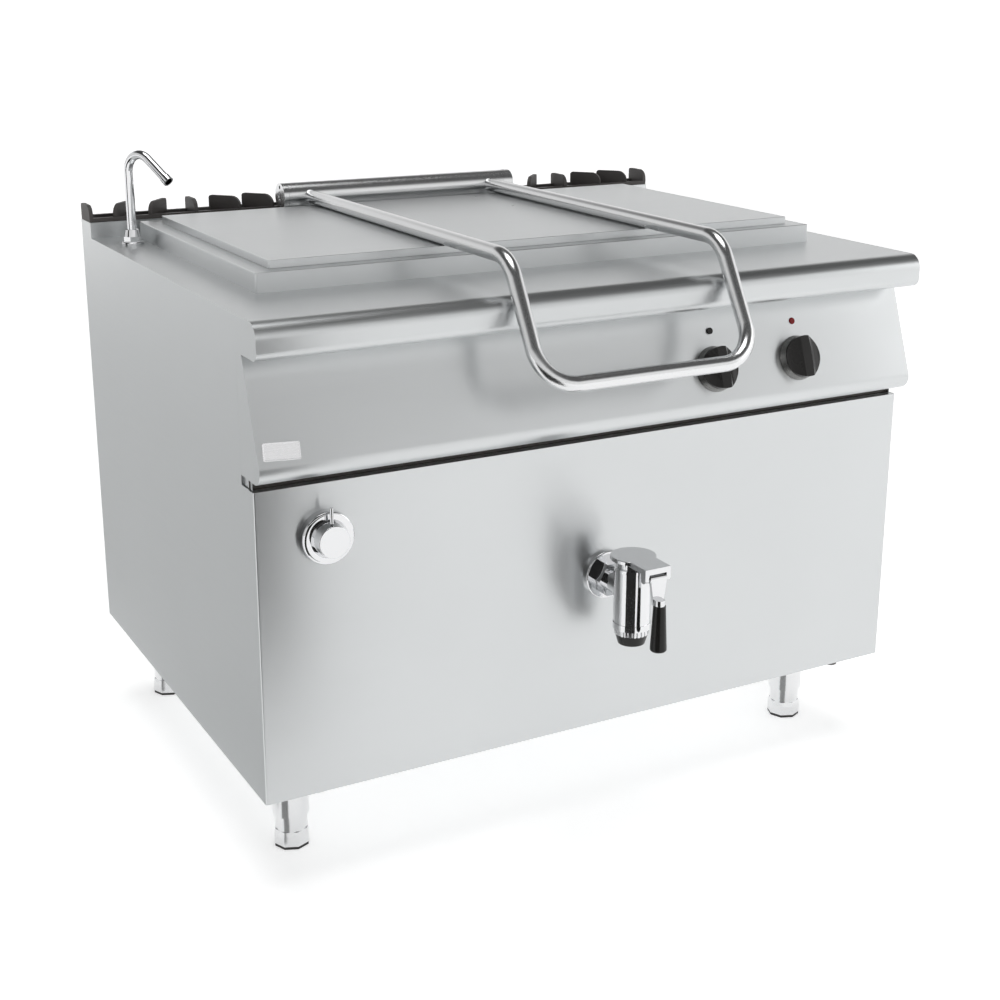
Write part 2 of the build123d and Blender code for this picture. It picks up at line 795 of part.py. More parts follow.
# Lid liner: the flat inner sheet that closes the tray from below, with an upturned edge.
with BuildPart() as lid_liner:
    with BuildSketch(Plane.XY.offset(lid_bottom)):
        with Locations((0, lid_center_y)):
            Rectangle(
                2 * (lid_half_width - lid_sheet - fit_gap), lid_length - 2 * (lid_sheet + fit_gap)
            )
    extrude(amount=lid_thickness - lid_sheet)
    with BuildSketch(Plane.XY.offset(lid_bottom + liner_sheet)):
        with Locations((0, lid_center_y)):
            Rectangle(
                2 * (lid_half_width - lid_sheet - fit_gap - liner_sheet),
                lid_length - 2 * (lid_sheet + fit_gap + liner_sheet),
            )
    extrude(amount=lid_thickness, mode=Mode.SUBTRACT)
lid_liner.part.label = "lid_liner"
export_step(lid_liner.part, "parts/lid_liner.step")

# Lid handle: one bent tube, from the barrel over the lid, down in front and back again.
with BuildPart() as lid_handle:
    with BuildLine() as handle_route:
        FilletPolyline(
            (-handle_half_width, barrel_y, tube_height),
            (-handle_half_width, handle_knee_y, tube_height),
            (-handle_half_width, handle_bar_y, handle_bar_height),
            (handle_half_width, handle_bar_y, handle_bar_height),
            (handle_half_width, handle_knee_y, tube_height),
            (handle_half_width, barrel_y, tube_height),
            radius=handle_bend_radius,
        )
    with BuildSketch(Plane(origin=handle_route.line @ 0, z_dir=handle_route.line % 0)):
        Circle(tube_radius)
        Circle(tube_radius - tube_wall, mode=Mode.SUBTRACT)
    sweep(path=handle_route.line)
    with BuildSketch(Plane.YZ.offset(-barrel_half_length)):
        with Locations((barrel_y, tube_height)):
            Circle(barrel_radius + fit_gap)
    extrude(amount=2 * barrel_half_length, mode=Mode.SUBTRACT)
lid_handle.part.label = "lid_handle"
export_step(lid_handle.part, "parts/lid_handle.step")

# Hinge barrel: a tube with a bearing plug at each end, turning on the hinge shaft.
barrel_left_x = -barrel_half_length + left_end_length + end_gap
barrel_right_x = barrel_half_length - right_end_length - end_gap
with BuildPart() as hinge_barrel:
    with BuildSketch(Plane.YZ.offset(barrel_left_x)):
        with Locations((barrel_y, tube_height)):
            Circle(barrel_radius)
            Circle(hinge_shaft_radius + running_gap, mode=Mode.SUBTRACT)
    extrude(amount=barrel_right_x - barrel_left_x)
    with BuildSketch(Plane.YZ.offset(barrel_left_x + bushing_length)):
        with Locations((barrel_y, tube_height)):
            Circle(barrel_bore)
    extrude(amount=barrel_right_x - barrel_left_x - 2 * bushing_length, mode=Mode.SUBTRACT)
hinge_barrel.part.label = "hinge_barrel"
export_step(hinge_barrel.part, "parts/hinge_barrel.step")

# Left hinge end: a thin bearing disc on a post, with a pair of spanner holes in its face.
with BuildPart() as hinge_end_left:
    with BuildSketch(Plane.YZ.offset(-barrel_half_length)):
        with Locations((barrel_y, tube_height)):
            Circle(barrel_radius)
        with Locations((barrel_y, worktop_height)):
            Rectangle(pedestal_depth, tube_height - worktop_height, align=(Align.CENTER, Align.MIN))
        with Locations((barrel_y, tube_height)):
            Circle(hinge_shaft_radius + running_gap, mode=Mode.SUBTRACT)
    extrude(amount=left_end_length)
    with BuildSketch(Plane.YZ.offset(-barrel_half_length)):
        with Locations(
            (barrel_y, tube_height + spanner_circle_radius), (barrel_y, tube_height - spanner_circle_radius)
        ):
            Circle(spanner_hole_radius)
    extrude(amount=spanner_hole_depth, mode=Mode.SUBTRACT)
hinge_end_left.part.label = "hinge_end_left"
export_step(hinge_end_left.part, "parts/hinge_end_left.step")

# Right hinge end: the thick spring adjuster ring, with tommy bar holes around its rim.
with BuildPart() as hinge_end_right:
    with BuildSketch(Plane.YZ.offset(barrel_half_length - right_end_length)):
        with Locations((barrel_y, tube_height)):
            Circle(barrel_radius)
    extrude(amount=right_end_length)
    with BuildSketch(Plane.YZ.offset(barrel_half_length - (right_end_length + pedestal_width) / 2)):
        with Locations((barrel_y, worktop_height)):
            Rectangle(pedestal_depth, tube_height - worktop_height, align=(Align.CENTER, Align.MIN))
    extrude(amount=pedestal_width)
    with BuildSketch(Plane.YZ.offset(barrel_half_length - right_end_length)):
        with Locations((barrel_y, tube_height)):
            Circle(hinge_shaft_radius + running_gap)
    extrude(amount=right_end_length, mode=Mode.SUBTRACT)
    for index in range(tommy_hole_count):
        angle = index * 2 * pi / tommy_hole_count
        rim_direction = Vector(0, -sin(angle), cos(angle))
        rim_point = (
            Vector(barrel_half_length - right_end_length / 2, barrel_y, tube_height)
            + rim_direction * barrel_radius
        )
        with BuildSketch(Plane(origin=rim_point, x_dir=(1, 0, 0), z_dir=rim_direction)):
            Circle(spanner_hole_radius)
        extrude(amount=-spanner_hole_depth, mode=Mode.SUBTRACT)
hinge_end_right.part.label = "hinge_end_right"
export_step(hinge_end_right.part, "parts/hinge_end_right.step")

# Hinge shaft: fixed in both ends, a little short of their outer faces.
with BuildPart() as hinge_shaft:
    with BuildSketch(Plane.YZ.offset(-barrel_half_length + shaft_end_recess)):
        with Locations((barrel_y, tube_height)):
            Circle(hinge_shaft_radius)
    extrude(amount=2 * (barrel_half_length - shaft_end_recess))
hinge_shaft.part.label = "hinge_shaft"
export_step(hinge_shaft.part, "parts/hinge_shaft.step")

# =================================================================== controls
for side_name, x in zip(("left", "right"), knob_x):
    knob_center = fascia_plane.from_local_coords((x, -knob_down, 0))
    knob_plane = Plane(origin=knob_center, x_dir=(1, 0, 0), z_dir=panel_normal)

    # Skirt: a tapered metal ring that turns with the knob, with the drive shaft behind it.
    with BuildPart() as knob_skirt:
        with BuildSketch(knob_plane.offset(knob_gap)):
            Circle(skirt_base_radius)
        with BuildSketch(knob_plane.offset(knob_seat)):
            Circle(skirt_top_radius)
        loft()
        with BuildSketch(knob_plane.offset(knob_gap + skirt_floor)):
            Circle(skirt_top_radius - skirt_wall)
        extrude(amount=skirt_ring_height, mode=Mode.SUBTRACT)
        with BuildSketch(knob_plane.offset(-shaft_length)):
            Circle(shaft_radius)
        extrude(amount=shaft_length + knob_seat + shaft_socket_depth - fit_gap)
    knob_skirt.part.label = "knob_skirt_" + side_name
    export_step(knob_skirt.part, "parts/knob_skirt_" + side_name + ".step")

    # Knob: a round base on the skirt, scooped out on both sides to leave a grip bar.
    with BuildPart() as knob:
        with BuildSketch(knob_plane.offset(knob_seat)):
            Circle(knob_radius)
        extrude(amount=knob_height)
        for scoop_sign in (-1, 1):
            with BuildSketch(Plane(origin=knob_center, x_dir=(1, 0, 0), z_dir=knob_plane.y_dir)):
                with BuildLine():
                    grip_edge = (scoop_sign * knob_grip_width / 2, -(knob_seat + knob_height))
                    rim_edge = (scoop_sign * (knob_radius + fit_gap), -(knob_seat + knob_base_height))
                    outside = (scoop_sign * (knob_radius + fit_gap), -(knob_seat + knob_height))
                    RadiusArc(grip_edge, rim_edge, scoop_sign * knob_scoop_radius)
                    Line(rim_edge, outside)
                    Line(outside, grip_edge)
                make_face()
            extrude(amount=knob_radius, both=True, mode=Mode.SUBTRACT)
        with BuildSketch(knob_plane.offset(knob_seat)):
            Circle(shaft_radius + fit_gap)
        extrude(amount=shaft_socket_depth, mode=Mode.SUBTRACT)
    knob.part.label = "knob_" + side_name
    export_step(knob.part, "parts/knob_" + side_name + ".step")

# Control valves behind the fascia: two equal blocks, each with a bearing for its shaft.
with BuildPart() as control_valves:
    with BuildSketch(fascia_plane.offset(-sheet)):
        with Locations((knob_x[0], -knob_down), (knob_x[1], -knob_down)):
            RectangleRounded(control_valve_width, control_valve_height, control_valve_corner)
    extrude(amount=-control_valve_depth)
    with BuildSketch(fascia_plane.offset(-sheet)):
        with Locations((knob_x[0], -knob_down), (knob_x[1], -knob_down)):
            Circle(shaft_radius + running_gap)
    extrude(amount=-shaft_length, mode=Mode.SUBTRACT)
control_valves.part.label = "control_valves"
export_step(control_valves.part, "parts/control_valves.step")

# Igniter button and the piezo igniter that it presses.
button_center = fascia_plane.from_local_coords((knob_x[0], -indicator_down, 0))
button_plane = Plane(origin=button_center, x_dir=(1, 0, 0), z_dir=panel_normal)
with BuildPart() as igniter_button:
    with BuildSketch(button_plane.offset(button_reach)):
        Circle(button_radius)
    extrude(amount=-(button_reach + button_length))
    fillet(igniter_button.faces().sort_by(Axis(button_center, panel_normal))[-1].edges(), radius=button_round)
igniter_button.part.label = "igniter_button"
export_step(igniter_button.part, "parts/igniter_button.step")

with BuildPart() as igniter_body:
    with BuildSketch(button_plane.offset(-sheet)):
        Circle(igniter_radius)
    extrude(amount=-igniter_length)
    with BuildSketch(button_plane.offset(-sheet)):
        Circle(button_radius + fit_gap)
    extrude(amount=-(button_length + button_travel), mode=Mode.SUBTRACT)
igniter_body.part.label = "igniter_body"
export_step(igniter_body.part, "parts/igniter_body.step")

# Pilot lamp: a domed lens with its stem through the fascia.
lamp_center = fascia_plane.from_local_coords((knob_x[1], -indicator_down, 0))
lamp_plane = Plane(origin=lamp_center, x_dir=(1, 0, 0), z_dir=panel_normal)
with BuildPart() as pilot_lamp:
    with BuildSketch(lamp_plane):
        Circle(indicator_radius)
    extrude(amount=indicator_dome)
    fillet(
        pilot_lamp.faces().sort_by(Axis(lamp_center, panel_normal))[-1].edges(),
        radius=indicator_dome - fit_gap,
    )
    with BuildSketch(lamp_plane):
        Circle(indicator_radius - indicator_rim - fit_gap)
    extrude(amount=-indicator_length)
pilot_lamp.part.label = "pilot_lamp"
export_step(pilot_lamp.part, "parts/pilot_lamp.step")

# Crossbar: a folded strip behind the gap between the control panel and the front panel.
crossbar_y = front_y + crossbar_offset
with BuildPart() as front_crossbar:
    with BuildSketch(Plane.YZ.offset(-(inner_half_width - base_gap))):
        with Locations((crossbar_y, panel_bottom_height)):
            Rectangle(sheet, crossbar_drop, align=(Align.MIN, Align.MAX))
            Rectangle(crossbar_fold, sheet, align=(Align.MIN, Align.MAX))
    extrude(amount=2 * (inner_half_width - base_gap))
front_crossbar.part.label = "front_crossbar"
export_step(front_crossbar.part, "parts/front_crossbar.step")

# =================================================================== feet
foot_places = {
    "front_left": (-foot_x, foot_front_y),
    "front_right": (foot_x, foot_front_y),
    "back_left": (-foot_x, foot_back_y),
    "back_right": (foot_x, foot_back_y),
}
with BuildPart() as foot_sockets:
    with BuildSketch(Plane.XY.offset(foot_height)):
        with Locations(*foot_places.values()):
            Circle(socket_flange_radius)
    extrude(amount=-socket_flange_thickness)
    with BuildSketch(Plane.XY.offset(foot_height)):
        with Locations(*foot_places.values()):
            Circle(socket_radius)
    extrude(amount=-socket_length)
    with BuildSketch(Plane.XY.offset(foot_height)):
        with Locations(*foot_places.values()):
            Circle(leg_radius + fit_gap)
    extrude(amount=-socket_length, mode=Mode.SUBTRACT)
foot_sockets.part.label = "foot_sockets"
export_step(foot_sockets.part, "parts/foot_sockets.step")

leg_shoulder = pad_thickness + octagon_height + octagon_flare
for place_name, place in foot_places.items():
    # Leg: a round screw leg with an octagonal, slightly flared adjusting foot.
    with BuildPart() as foot_leg:
        with BuildSketch(Plane.XY.offset(pad_thickness)):
            with Locations(place):
                RegularPolygon(radius=octagon_radius, side_count=octagon_sides)
        extrude(amount=octagon_height)
        with BuildSketch(Plane.XY.offset(pad_thickness + octagon_height)):
            with Locations(place):
                RegularPolygon(radius=octagon_radius, side_count=octagon_sides)
        with BuildSketch(Plane.XY.offset(leg_shoulder)):
            with Locations(place):
                RegularPolygon(radius=leg_radius, side_count=octagon_sides, major_radius=False)
        loft()
        with BuildSketch(Plane.XY.offset(leg_shoulder)):
            with Locations(place):
                Circle(leg_radius)
        extrude(amount=foot_height - socket_length - leg_shoulder + leg_overlap)
    foot_leg.part.label = "foot_leg_" + place_name
    export_step(foot_leg.part, "parts/foot_leg_" + place_name + ".step")

    with BuildPart() as foot_pad:
        with BuildSketch():
            with Locations(place):
                RegularPolygon(radius=octagon_radius - pad_inset, side_count=octagon_sides)
        extrude(amount=pad_thickness)
    foot_pad.part.label = "foot_pad_" + place_name
    export_step(foot_pad.part, "parts/foot_pad_" + place_name + ".step")

# =================================================================== drain
# Drain pipe: from the outlet in the well floor, down and forward through the jacket.
with BuildPart() as drain_pipe:
    with BuildLine() as drain_route:
        FilletPolyline(
            (0, drain_y, well_floor - well_wall),
            (0, drain_y, tap_height),
            (0, front_y, tap_height),
            radius=drain_elbow_radius,
        )
    with BuildSketch(Plane(origin=drain_route.line @ 0, z_dir=drain_route.line % 0)):
        Circle(drain_pipe_radius)
        Circle(drain_pipe_radius - drain_pipe_wall, mode=Mode.SUBTRACT)
    sweep(path=drain_route.line)
drain_pipe.part.label = "drain_pipe"
export_step(drain_pipe.part, "parts/drain_pipe.step")

with BuildPart() as tap_flange:
    with BuildSketch(Plane.XZ.offset(-front_y)):
        with Locations((0, tap_height)):
            Circle(tap_flange_radius)
            Circle(tap_neck_bore, mode=Mode.SUBTRACT)
    extrude(amount=tap_flange_thickness)
    fillet(tap_flange.faces().sort_by(Axis.Y)[0].edges().sort_by(SortBy.RADIUS)[-1], radius=tap_flange_round)
tap_flange.part.label = "tap_flange"
export_step(tap_flange.part, "parts/tap_flange.step")

with BuildPart() as tap_nut:
    with BuildSketch(Plane.XZ.offset(-front_y + tap_flange_thickness)):
        with Locations((0, tap_height)):
            RegularPolygon(radius=tap_nut_radius, side_count=hexagon_sides)
            Circle(tap_neck_radius + running_gap, mode=Mode.SUBTRACT)
    extrude(amount=tap_nut_length)
tap_nut.part.label = "tap_nut"
export_step(tap_nut.part, "parts/tap_nut.step")

# Tap body: an upright chamber with its seat at the bottom and a neck to the panel.
with BuildPart() as tap_body:
    with BuildSketch(Plane.XY.offset(tap_body_bottom)):
        with Locations((0, tap_y)):
            Circle(tap_body_radius)
    extrude(amount=tap_body_top - tap_body_bottom)
    with BuildSketch(Plane.XY.offset(tap_body_bottom)):
        with Locations((0, tap_y)):
            Circle(tap_band_radius)
    extrude(amount=tap_band_height)
    with BuildSketch(Plane.XY.offset(tap_body_top)):
        with Locations((0, tap_y)):
            Circle(tap_band_radius)
    extrude(amount=-tap_top_band_height)
    with BuildSketch(Plane.XZ.offset(-front_y + tap_flange_thickness)):
        with Locations((0, tap_height)):
            Circle(tap_neck_radius)
    extrude(amount=tap_reach - tap_flange_thickness)
    with BuildSketch(Plane.XZ.offset(-front_y + tap_flange_thickness)):
        with Locations((0, tap_height)):
            Circle(tap_neck_bore)
    extrude(amount=tap_reach - tap_flange_thickness, mode=Mode.SUBTRACT)
    with BuildSketch(Plane.XY.offset(tap_body_bottom + tap_seat_thickness)):
        with Locations((0, tap_y)):
            Circle(tap_body_bore)
    extrude(amount=tap_body_top - tap_body_bottom, mode=Mode.SUBTRACT)
    with BuildSketch(Plane.XY.offset(tap_body_bottom)):
        with Locations((0, tap_y)):
            Circle(tap_seat_radius)
    extrude(amount=tap_seat_thickness, mode=Mode.SUBTRACT)
tap_body.part.label = "tap_body"
export_step(tap_body.part, "parts/tap_body.step")

# Fluted ring under the body.
tap_ring_bottom = tap_body_bottom - tap_ring_height
with BuildPart() as tap_ring:
    with BuildSketch(Plane.XY.offset(tap_ring_bottom)):
        with Locations((0, tap_y)):
            Circle(tap_ring_radius)
            Circle(tap_outlet_bore, mode=Mode.SUBTRACT)
            with PolarLocations(tap_ring_radius, tap_ring_flutes):
                Circle(tap_ring_flute_radius, mode=Mode.SUBTRACT)
    extrude(amount=tap_ring_height)
tap_ring.part.label = "tap_ring"
export_step(tap_ring.part, "parts/tap_ring.step")

with BuildPart() as tap_outlet:
    with BuildSketch(Plane.XY.offset(tap_ring_bottom)):
        with Locations((0, tap_y)):
            Circle(tap_cone_top_radius)
    with BuildSketch(Plane.XY.offset(tap_ring_bottom - tap_cone_height)):
        with Locations((0, tap_y)):
            Circle(tap_cone_bottom_radius)
    loft()
    with BuildSketch(Plane.XY.offset(tap_ring_bottom)):
        with Locations((0, tap_y)):
            Circle(tap_outlet_bore)
    extrude(amount=-tap_cone_height, mode=Mode.SUBTRACT)
tap_outlet.part.label = "tap_outlet"
export_step(tap_outlet.part, "parts/tap_outlet.step")

# Cap: a round lid on a narrower neck, with a square beak forward and two ears that hold
# the lever pin.
with BuildPart() as tap_cap:
    with BuildSketch(Plane.XY.offset(cap_top)):
        with Locations((0, tap_y)):
            Circle(cap_radius)
    extrude(amount=-cap_thickness)
    fillet(tap_cap.faces().sort_by(Axis.Z)[-1].edges(), radius=cap_round)
    with BuildSketch(Plane.XY.offset(tap_body_top)):
        with Locations((0, tap_y)):
            Circle(cap_neck_radius)
    extrude(amount=cap_neck_height)
    with BuildSketch(Plane.XY.offset(cap_top)):
        with Locations((0, tap_y)):
            Rectangle(2 * beak_half_width, beak_reach, align=(Align.CENTER, Align.MAX))
    extrude(amount=-beak_thickness)
    for ear_sign in (-1, 1):
        with BuildSketch(Plane.YZ.offset(ear_sign * (beak_half_width - ear_thickness / 2))):
            with Locations((beak_y + ear_depth / 2, cap_top - ear_drop + ear_depth / 2)):
                Circle(ear_depth / 2)
            with Locations((beak_y, cap_top)):
                Rectangle(ear_depth, ear_drop - ear_depth / 2, align=(Align.MIN, Align.MAX))
        extrude(amount=ear_thickness / 2, both=True)
    with BuildSketch(Plane.YZ.offset(-beak_half_width)):
        with Locations((lever_pivot_y, lever_pivot_z)):
            Circle(lever_pin_radius + running_gap)
    extrude(amount=2 * beak_half_width, mode=Mode.SUBTRACT)
tap_cap.part.label = "tap_cap"
export_step(tap_cap.part, "parts/tap_cap.step")

# Lever: an eye between the ears, a tapering blade, a collar and a tang inside the grip.
with BuildPart() as drain_lever:
    with BuildSketch(Plane.YZ.offset(-lever_top_width / 2)):
        with Locations((lever_pivot_y, lever_pivot_z)):
            Circle(lever_eye_radius)
    extrude(amount=lever_top_width)
    with BuildSketch(Plane.YZ.offset(-beak_half_width)):
        with Locations((lever_pivot_y, lever_pivot_z)):
            Circle(lever_pin_radius)
    extrude(amount=2 * beak_half_width)
    with BuildSketch(Plane.XZ.offset(-(lever_pivot_y - lever_eye_radius + lever_blade_thickness))):
        with BuildLine():
            Polyline(
                (-lever_top_width / 2, lever_pivot_z),
                (lever_top_width / 2, lever_pivot_z),
                (lever_bottom_width / 2, grip_top),
                (-lever_bottom_width / 2, grip_top),
                close=True,
            )
        make_face()
    extrude(amount=lever_blade_thickness)
    with BuildSketch(Plane.XY.offset(grip_top)):
        with Locations((0, grip_y)):
            Circle(lever_collar_radius)
    extrude(amount=lever_collar_height)
    with BuildSketch(Plane.XY.offset(grip_top)):
        with Locations((0, grip_y)):
            Circle(grip_core_radius)
    extrude(amount=-grip_core_length)
drain_lever.part.label = "drain_lever"
export_step(drain_lever.part, "parts/drain_lever.step")

with BuildPart() as lever_grip:
    with BuildSketch(Plane.XY.offset(grip_top)):
        with Locations((0, grip_y)):
            Circle(grip_top_radius)
    with BuildSketch(Plane.XY.offset(grip_top - grip_length)):
        with Locations((0, grip_y)):
            Circle(grip_bottom_radius)
    loft()
    fillet(lever_grip.faces().sort_by(Axis.Z)[0].edges(), radius=grip_round)
    with BuildSketch(Plane.XY.offset(grip_top)):
        with Locations((0, grip_y)):
            Circle(grip_core_radius + running_gap)
    extrude(amount=-(grip_core_length + fit_gap), mode=Mode.SUBTRACT)
lever_grip.part.label = "lever_grip"
export_step(lever_grip.part, "parts/lever_grip.step")

# Plunger: closes the seat from above when the lever hangs down.
plunger_bottom = tap_body_bottom + tap_seat_thickness + plunger_gap
with BuildPart() as tap_plunger:
    with BuildSketch(Plane.XY.offset(plunger_bottom)):
        with Locations((0, tap_y)):
            Circle(tap_body_bore - plunger_gap)
    extrude(amount=plunger_disc_thickness)
    with BuildSketch(Plane.XY.offset(plunger_bottom)):
        with Locations((0, tap_y)):
            Circle(plunger_stem_radius)
    extrude(amount=plunger_stem_length)
tap_plunger.part.label = "tap_plunger"
export_step(tap_plunger.part, "parts/tap_plunger.step")

# =================================================================== water supply
with BuildPart() as valve_rosette:
    with BuildSketch(Plane.XZ.offset(-front_y)):
        with Locations((valve_x, valve_height)):
            Circle(rosette_radius)
    extrude(amount=rosette_thickness)
    fillet(valve_rosette.faces().sort_by(Axis.Y)[0].edges(), radius=rosette_round)
    with BuildSketch(Plane.XZ.offset(-front_y)):
        with Locations((valve_x, valve_height)):
            Circle(valve_stem_radius + fit_gap)
    extrude(amount=rosette_thickness, mode=Mode.SUBTRACT)
valve_rosette.part.label = "valve_rosette"
export_step(valve_rosette.part, "parts/valve_rosette.step")

# Water lever: a tapered hub with a thin rod that points up when the valve is shut.
hub_back = -front_y + rosette_thickness + fit_gap
with BuildPart() as water_lever:
    with BuildSketch(Plane.XZ.offset(hub_back)):
        with Locations((valve_x, valve_height)):
            Circle(hub_base_radius)
    with BuildSketch(Plane.XZ.offset(hub_back + hub_length)):
        with Locations((valve_x, valve_height)):
            Circle(hub_face_radius)
    loft()
    fillet(water_lever.faces().sort_by(Axis.Y)[0].edges(), radius=hub_round)
    with BuildSketch(Plane.XY.offset(valve_height)):
        with Locations((valve_x, -(hub_back + hub_length / 2))):
            Circle(lever_rod_radius)
    extrude(amount=lever_rod_reach)
    fillet(water_lever.faces().sort_by(Axis.Z)[-1].edges(), radius=lever_rod_round)
    with BuildSketch(Plane.XZ.offset(hub_back)):
        with Locations((valve_x, valve_height)):
            Circle(valve_stem_radius)
    extrude(amount=-(valve_stem_length + rosette_thickness))
water_lever.part.label = "water_lever"
export_step(water_lever.part, "parts/water_lever.step")

# Valve body behind the front panel, with ports below and above.
with BuildPart() as water_valve_body:
    with BuildSketch(Plane.XZ.offset(-front_y - sheet)):
        with Locations((valve_x, valve_height)):
            Circle(valve_body_radius)
    extrude(amount=-valve_body_depth)
    with BuildSketch(Plane.XZ.offset(-front_y - sheet)):
        with Locations((valve_x, valve_height)):
            Circle(valve_stem_radius + running_gap)
    extrude(amount=-valve_stem_length, mode=Mode.SUBTRACT)
    with BuildSketch(Plane.XY.offset(valve_height)):
        with Locations((valve_x, supply_y)):
            Circle(water_pipe_radius + 2 * water_pipe_wall)
    extrude(amount=valve_body_radius + water_pipe_radius, both=True)
    with BuildSketch(Plane.XY.offset(valve_height)):
        with Locations((valve_x, supply_y)):
            Circle(water_pipe_radius - water_pipe_wall)
    extrude(amount=valve_body_radius + water_pipe_radius, both=True, mode=Mode.SUBTRACT)
water_valve_body.part.label = "water_valve_body"
export_step(water_valve_body.part, "parts/water_valve_body.step")

# Supply pipe: from a threaded nipple under the base tray up to the valve.
port_reach = valve_body_radius + water_pipe_radius
with BuildPart() as water_supply_pipe:
    with BuildSketch(Plane.XY.offset(foot_height - supply_drop)):
        with Locations((valve_x, supply_y)):
            Circle(water_pipe_radius)
            Circle(water_pipe_radius - water_pipe_wall, mode=Mode.SUBTRACT)
    extrude(amount=valve_height - port_reach - foot_height + supply_drop)
    with BuildSketch(Plane.XY.offset(foot_height - supply_drop)):
        with Locations((valve_x, supply_y)):
            Circle(water_nipple_radius)
            Circle(water_pipe_radius - water_pipe_wall, mode=Mode.SUBTRACT)
    extrude(amount=nipple_length)
water_supply_pipe.part.label = "water_supply_pipe"
export_step(water_supply_pipe.part, "parts/water_supply_pipe.step")

# Riser: from the valve up, across and back to the foot of the spout.
with BuildPart() as water_riser:
    with BuildLine() as riser_route:
        FilletPolyline(
            (valve_x, supply_y, valve_height + port_reach),
            (valve_x, supply_y, water_pipe_height),
            (spout_x, supply_y, water_pipe_height),
            (spout_x, spout_y, water_pipe_height),
            (spout_x, spout_y, worktop_height - spout_tail - fit_gap),
            radius=water_pipe_bend - running_gap,
        )
    with BuildSketch(Plane(origin=riser_route.line @ 0, z_dir=riser_route.line % 0)):
        Circle(water_pipe_radius)
        Circle(water_pipe_radius - water_pipe_wall, mode=Mode.SUBTRACT)
    sweep(path=riser_route.line)
water_riser.part.label = "water_riser"
export_step(water_riser.part, "parts/water_riser.step")

# Spout nut: a hexagon with a cone on top, standing on a round rosette of the same casting.
with BuildPart() as spout_nut:
    with BuildSketch(Plane.XY.offset(worktop_height)):
        with Locations((spout_x, spout_y)):
            Circle(spout_rosette_radius)
    extrude(amount=spout_rosette_height)
    fillet(spout_nut.faces().sort_by(Axis.Z)[-1].edges(), radius=spout_rosette_height / 2)
    with BuildSketch(Plane.XY.offset(worktop_height + spout_rosette_height)):
        with Locations((spout_x, spout_y)):
            RegularPolygon(radius=spout_nut_radius, side_count=hexagon_sides)
    extrude(amount=spout_nut_height)
    with BuildSketch(Plane.XY.offset(spout_nut_top - spout_cone_height)):
        with Locations((spout_x, spout_y)):
            Circle(spout_nut_radius * cos(pi / hexagon_sides))
    with BuildSketch(Plane.XY.offset(spout_nut_top)):
        with Locations((spout_x, spout_y)):
            Circle(spout_cone_top_radius)
    loft()
    with BuildSketch(Plane.XY.offset(worktop_height)):
        with Locations((spout_x, spout_y)):
            Circle(spout_radius + fit_gap)
    extrude(amount=spout_nut_top - worktop_height, mode=Mode.SUBTRACT)
spout_nut.part.label = "spout_nut"
export_step(spout_nut.part, "parts/spout_nut.step")

# Spout: a thin swivelling tube, bent over at the top towards the pan.
spout_turn = radians(90 + spout_drop)
spout_corner_height = spout_bend_height + spout_bend_radius * tan(spout_turn / 2)
spout_reach = spout_bend_radius * tan(spout_turn / 2) + spout_leg
spout_plane = Plane(
    origin=(spout_x, spout_y, 0),
    x_dir=(cos(radians(spout_heading)), sin(radians(spout_heading)), 0),
    z_dir=(sin(radians(spout_heading)), -cos(radians(spout_heading)), 0),
)
with BuildPart() as spout:
    with BuildLine(spout_plane) as spout_route:
        FilletPolyline(
            (0, worktop_height - spout_tail),
            (0, spout_corner_height),
            (
                spout_reach * cos(radians(spout_drop)),
                spout_corner_height - spout_reach * sin(radians(spout_drop)),
            ),
            radius=spout_bend_radius,
        )
    with BuildSketch(Plane(origin=spout_route.line @ 0, z_dir=spout_route.line % 0)):
        Circle(spout_radius)
        Circle(spout_radius - spout_wall, mode=Mode.SUBTRACT)
    sweep(path=spout_route.line)
    with BuildSketch(Plane(origin=spout_route.line @ 1, z_dir=spout_route.line % 1)):
        Circle(spout_tip_radius)
        Circle(spout_radius - spout_wall, mode=Mode.SUBTRACT)
    extrude(amount=-spout_tip_length)
spout.part.label = "spout"
export_step(spout.part, "parts/spout.step")

# =================================================================== burners and gas line
with BuildPart() as burner_tubes:
    with BuildSketch(Plane.YZ.offset(-burner_end_x)):
        with Locations((well_center_y, burner_height)):
            with GridLocations(burner_pitch, 0, burner_count, 1):
                Circle(burner_radius)
                Circle(burner_radius - burner_wall, mode=Mode.SUBTRACT)
    extrude(amount=burner_length)
    with BuildSketch(Plane.XY.offset(burner_height)):
        with Locations((0, well_center_y)):
            with GridLocations(burner_slot_pitch, burner_pitch, burner_slot_count, burner_count):
                SlotOverall(burner_slot_length, burner_slot_width, rotation=90)
    extrude(amount=burner_radius, mode=Mode.SUBTRACT)
burner_tubes.part.label = "burner_tubes"
export_step(burner_tubes.part, "parts/burner_tubes.step")

# Gas manifold: from a threaded nipple under the base tray up and across behind both valves.
with BuildPart() as gas_manifold:
    with BuildLine() as gas_route:
        FilletPolyline(
            (gas_inlet_x, gas_line.Y, foot_height - supply_drop),
            (gas_inlet_x, gas_line.Y, gas_line.Z),
            (knob_x[0] - control_valve_width / 2, gas_line.Y, gas_line.Z),
            radius=gas_bend,
        )
    with BuildSketch(Plane(origin=gas_route.line @ 0, z_dir=gas_route.line % 0)):
        Circle(manifold_radius)
        Circle(manifold_bore, mode=Mode.SUBTRACT)
    sweep(path=gas_route.line)
    with BuildSketch(Plane.XY.offset(foot_height - supply_drop)):
        with Locations((gas_inlet_x, supply_y)):
            Circle(gas_nipple_radius)
            Circle(manifold_bore, mode=Mode.SUBTRACT)
    extrude(amount=nipple_length)
gas_manifold.part.label = "gas_manifold"
export_step(gas_manifold.part, "parts/gas_manifold.step")

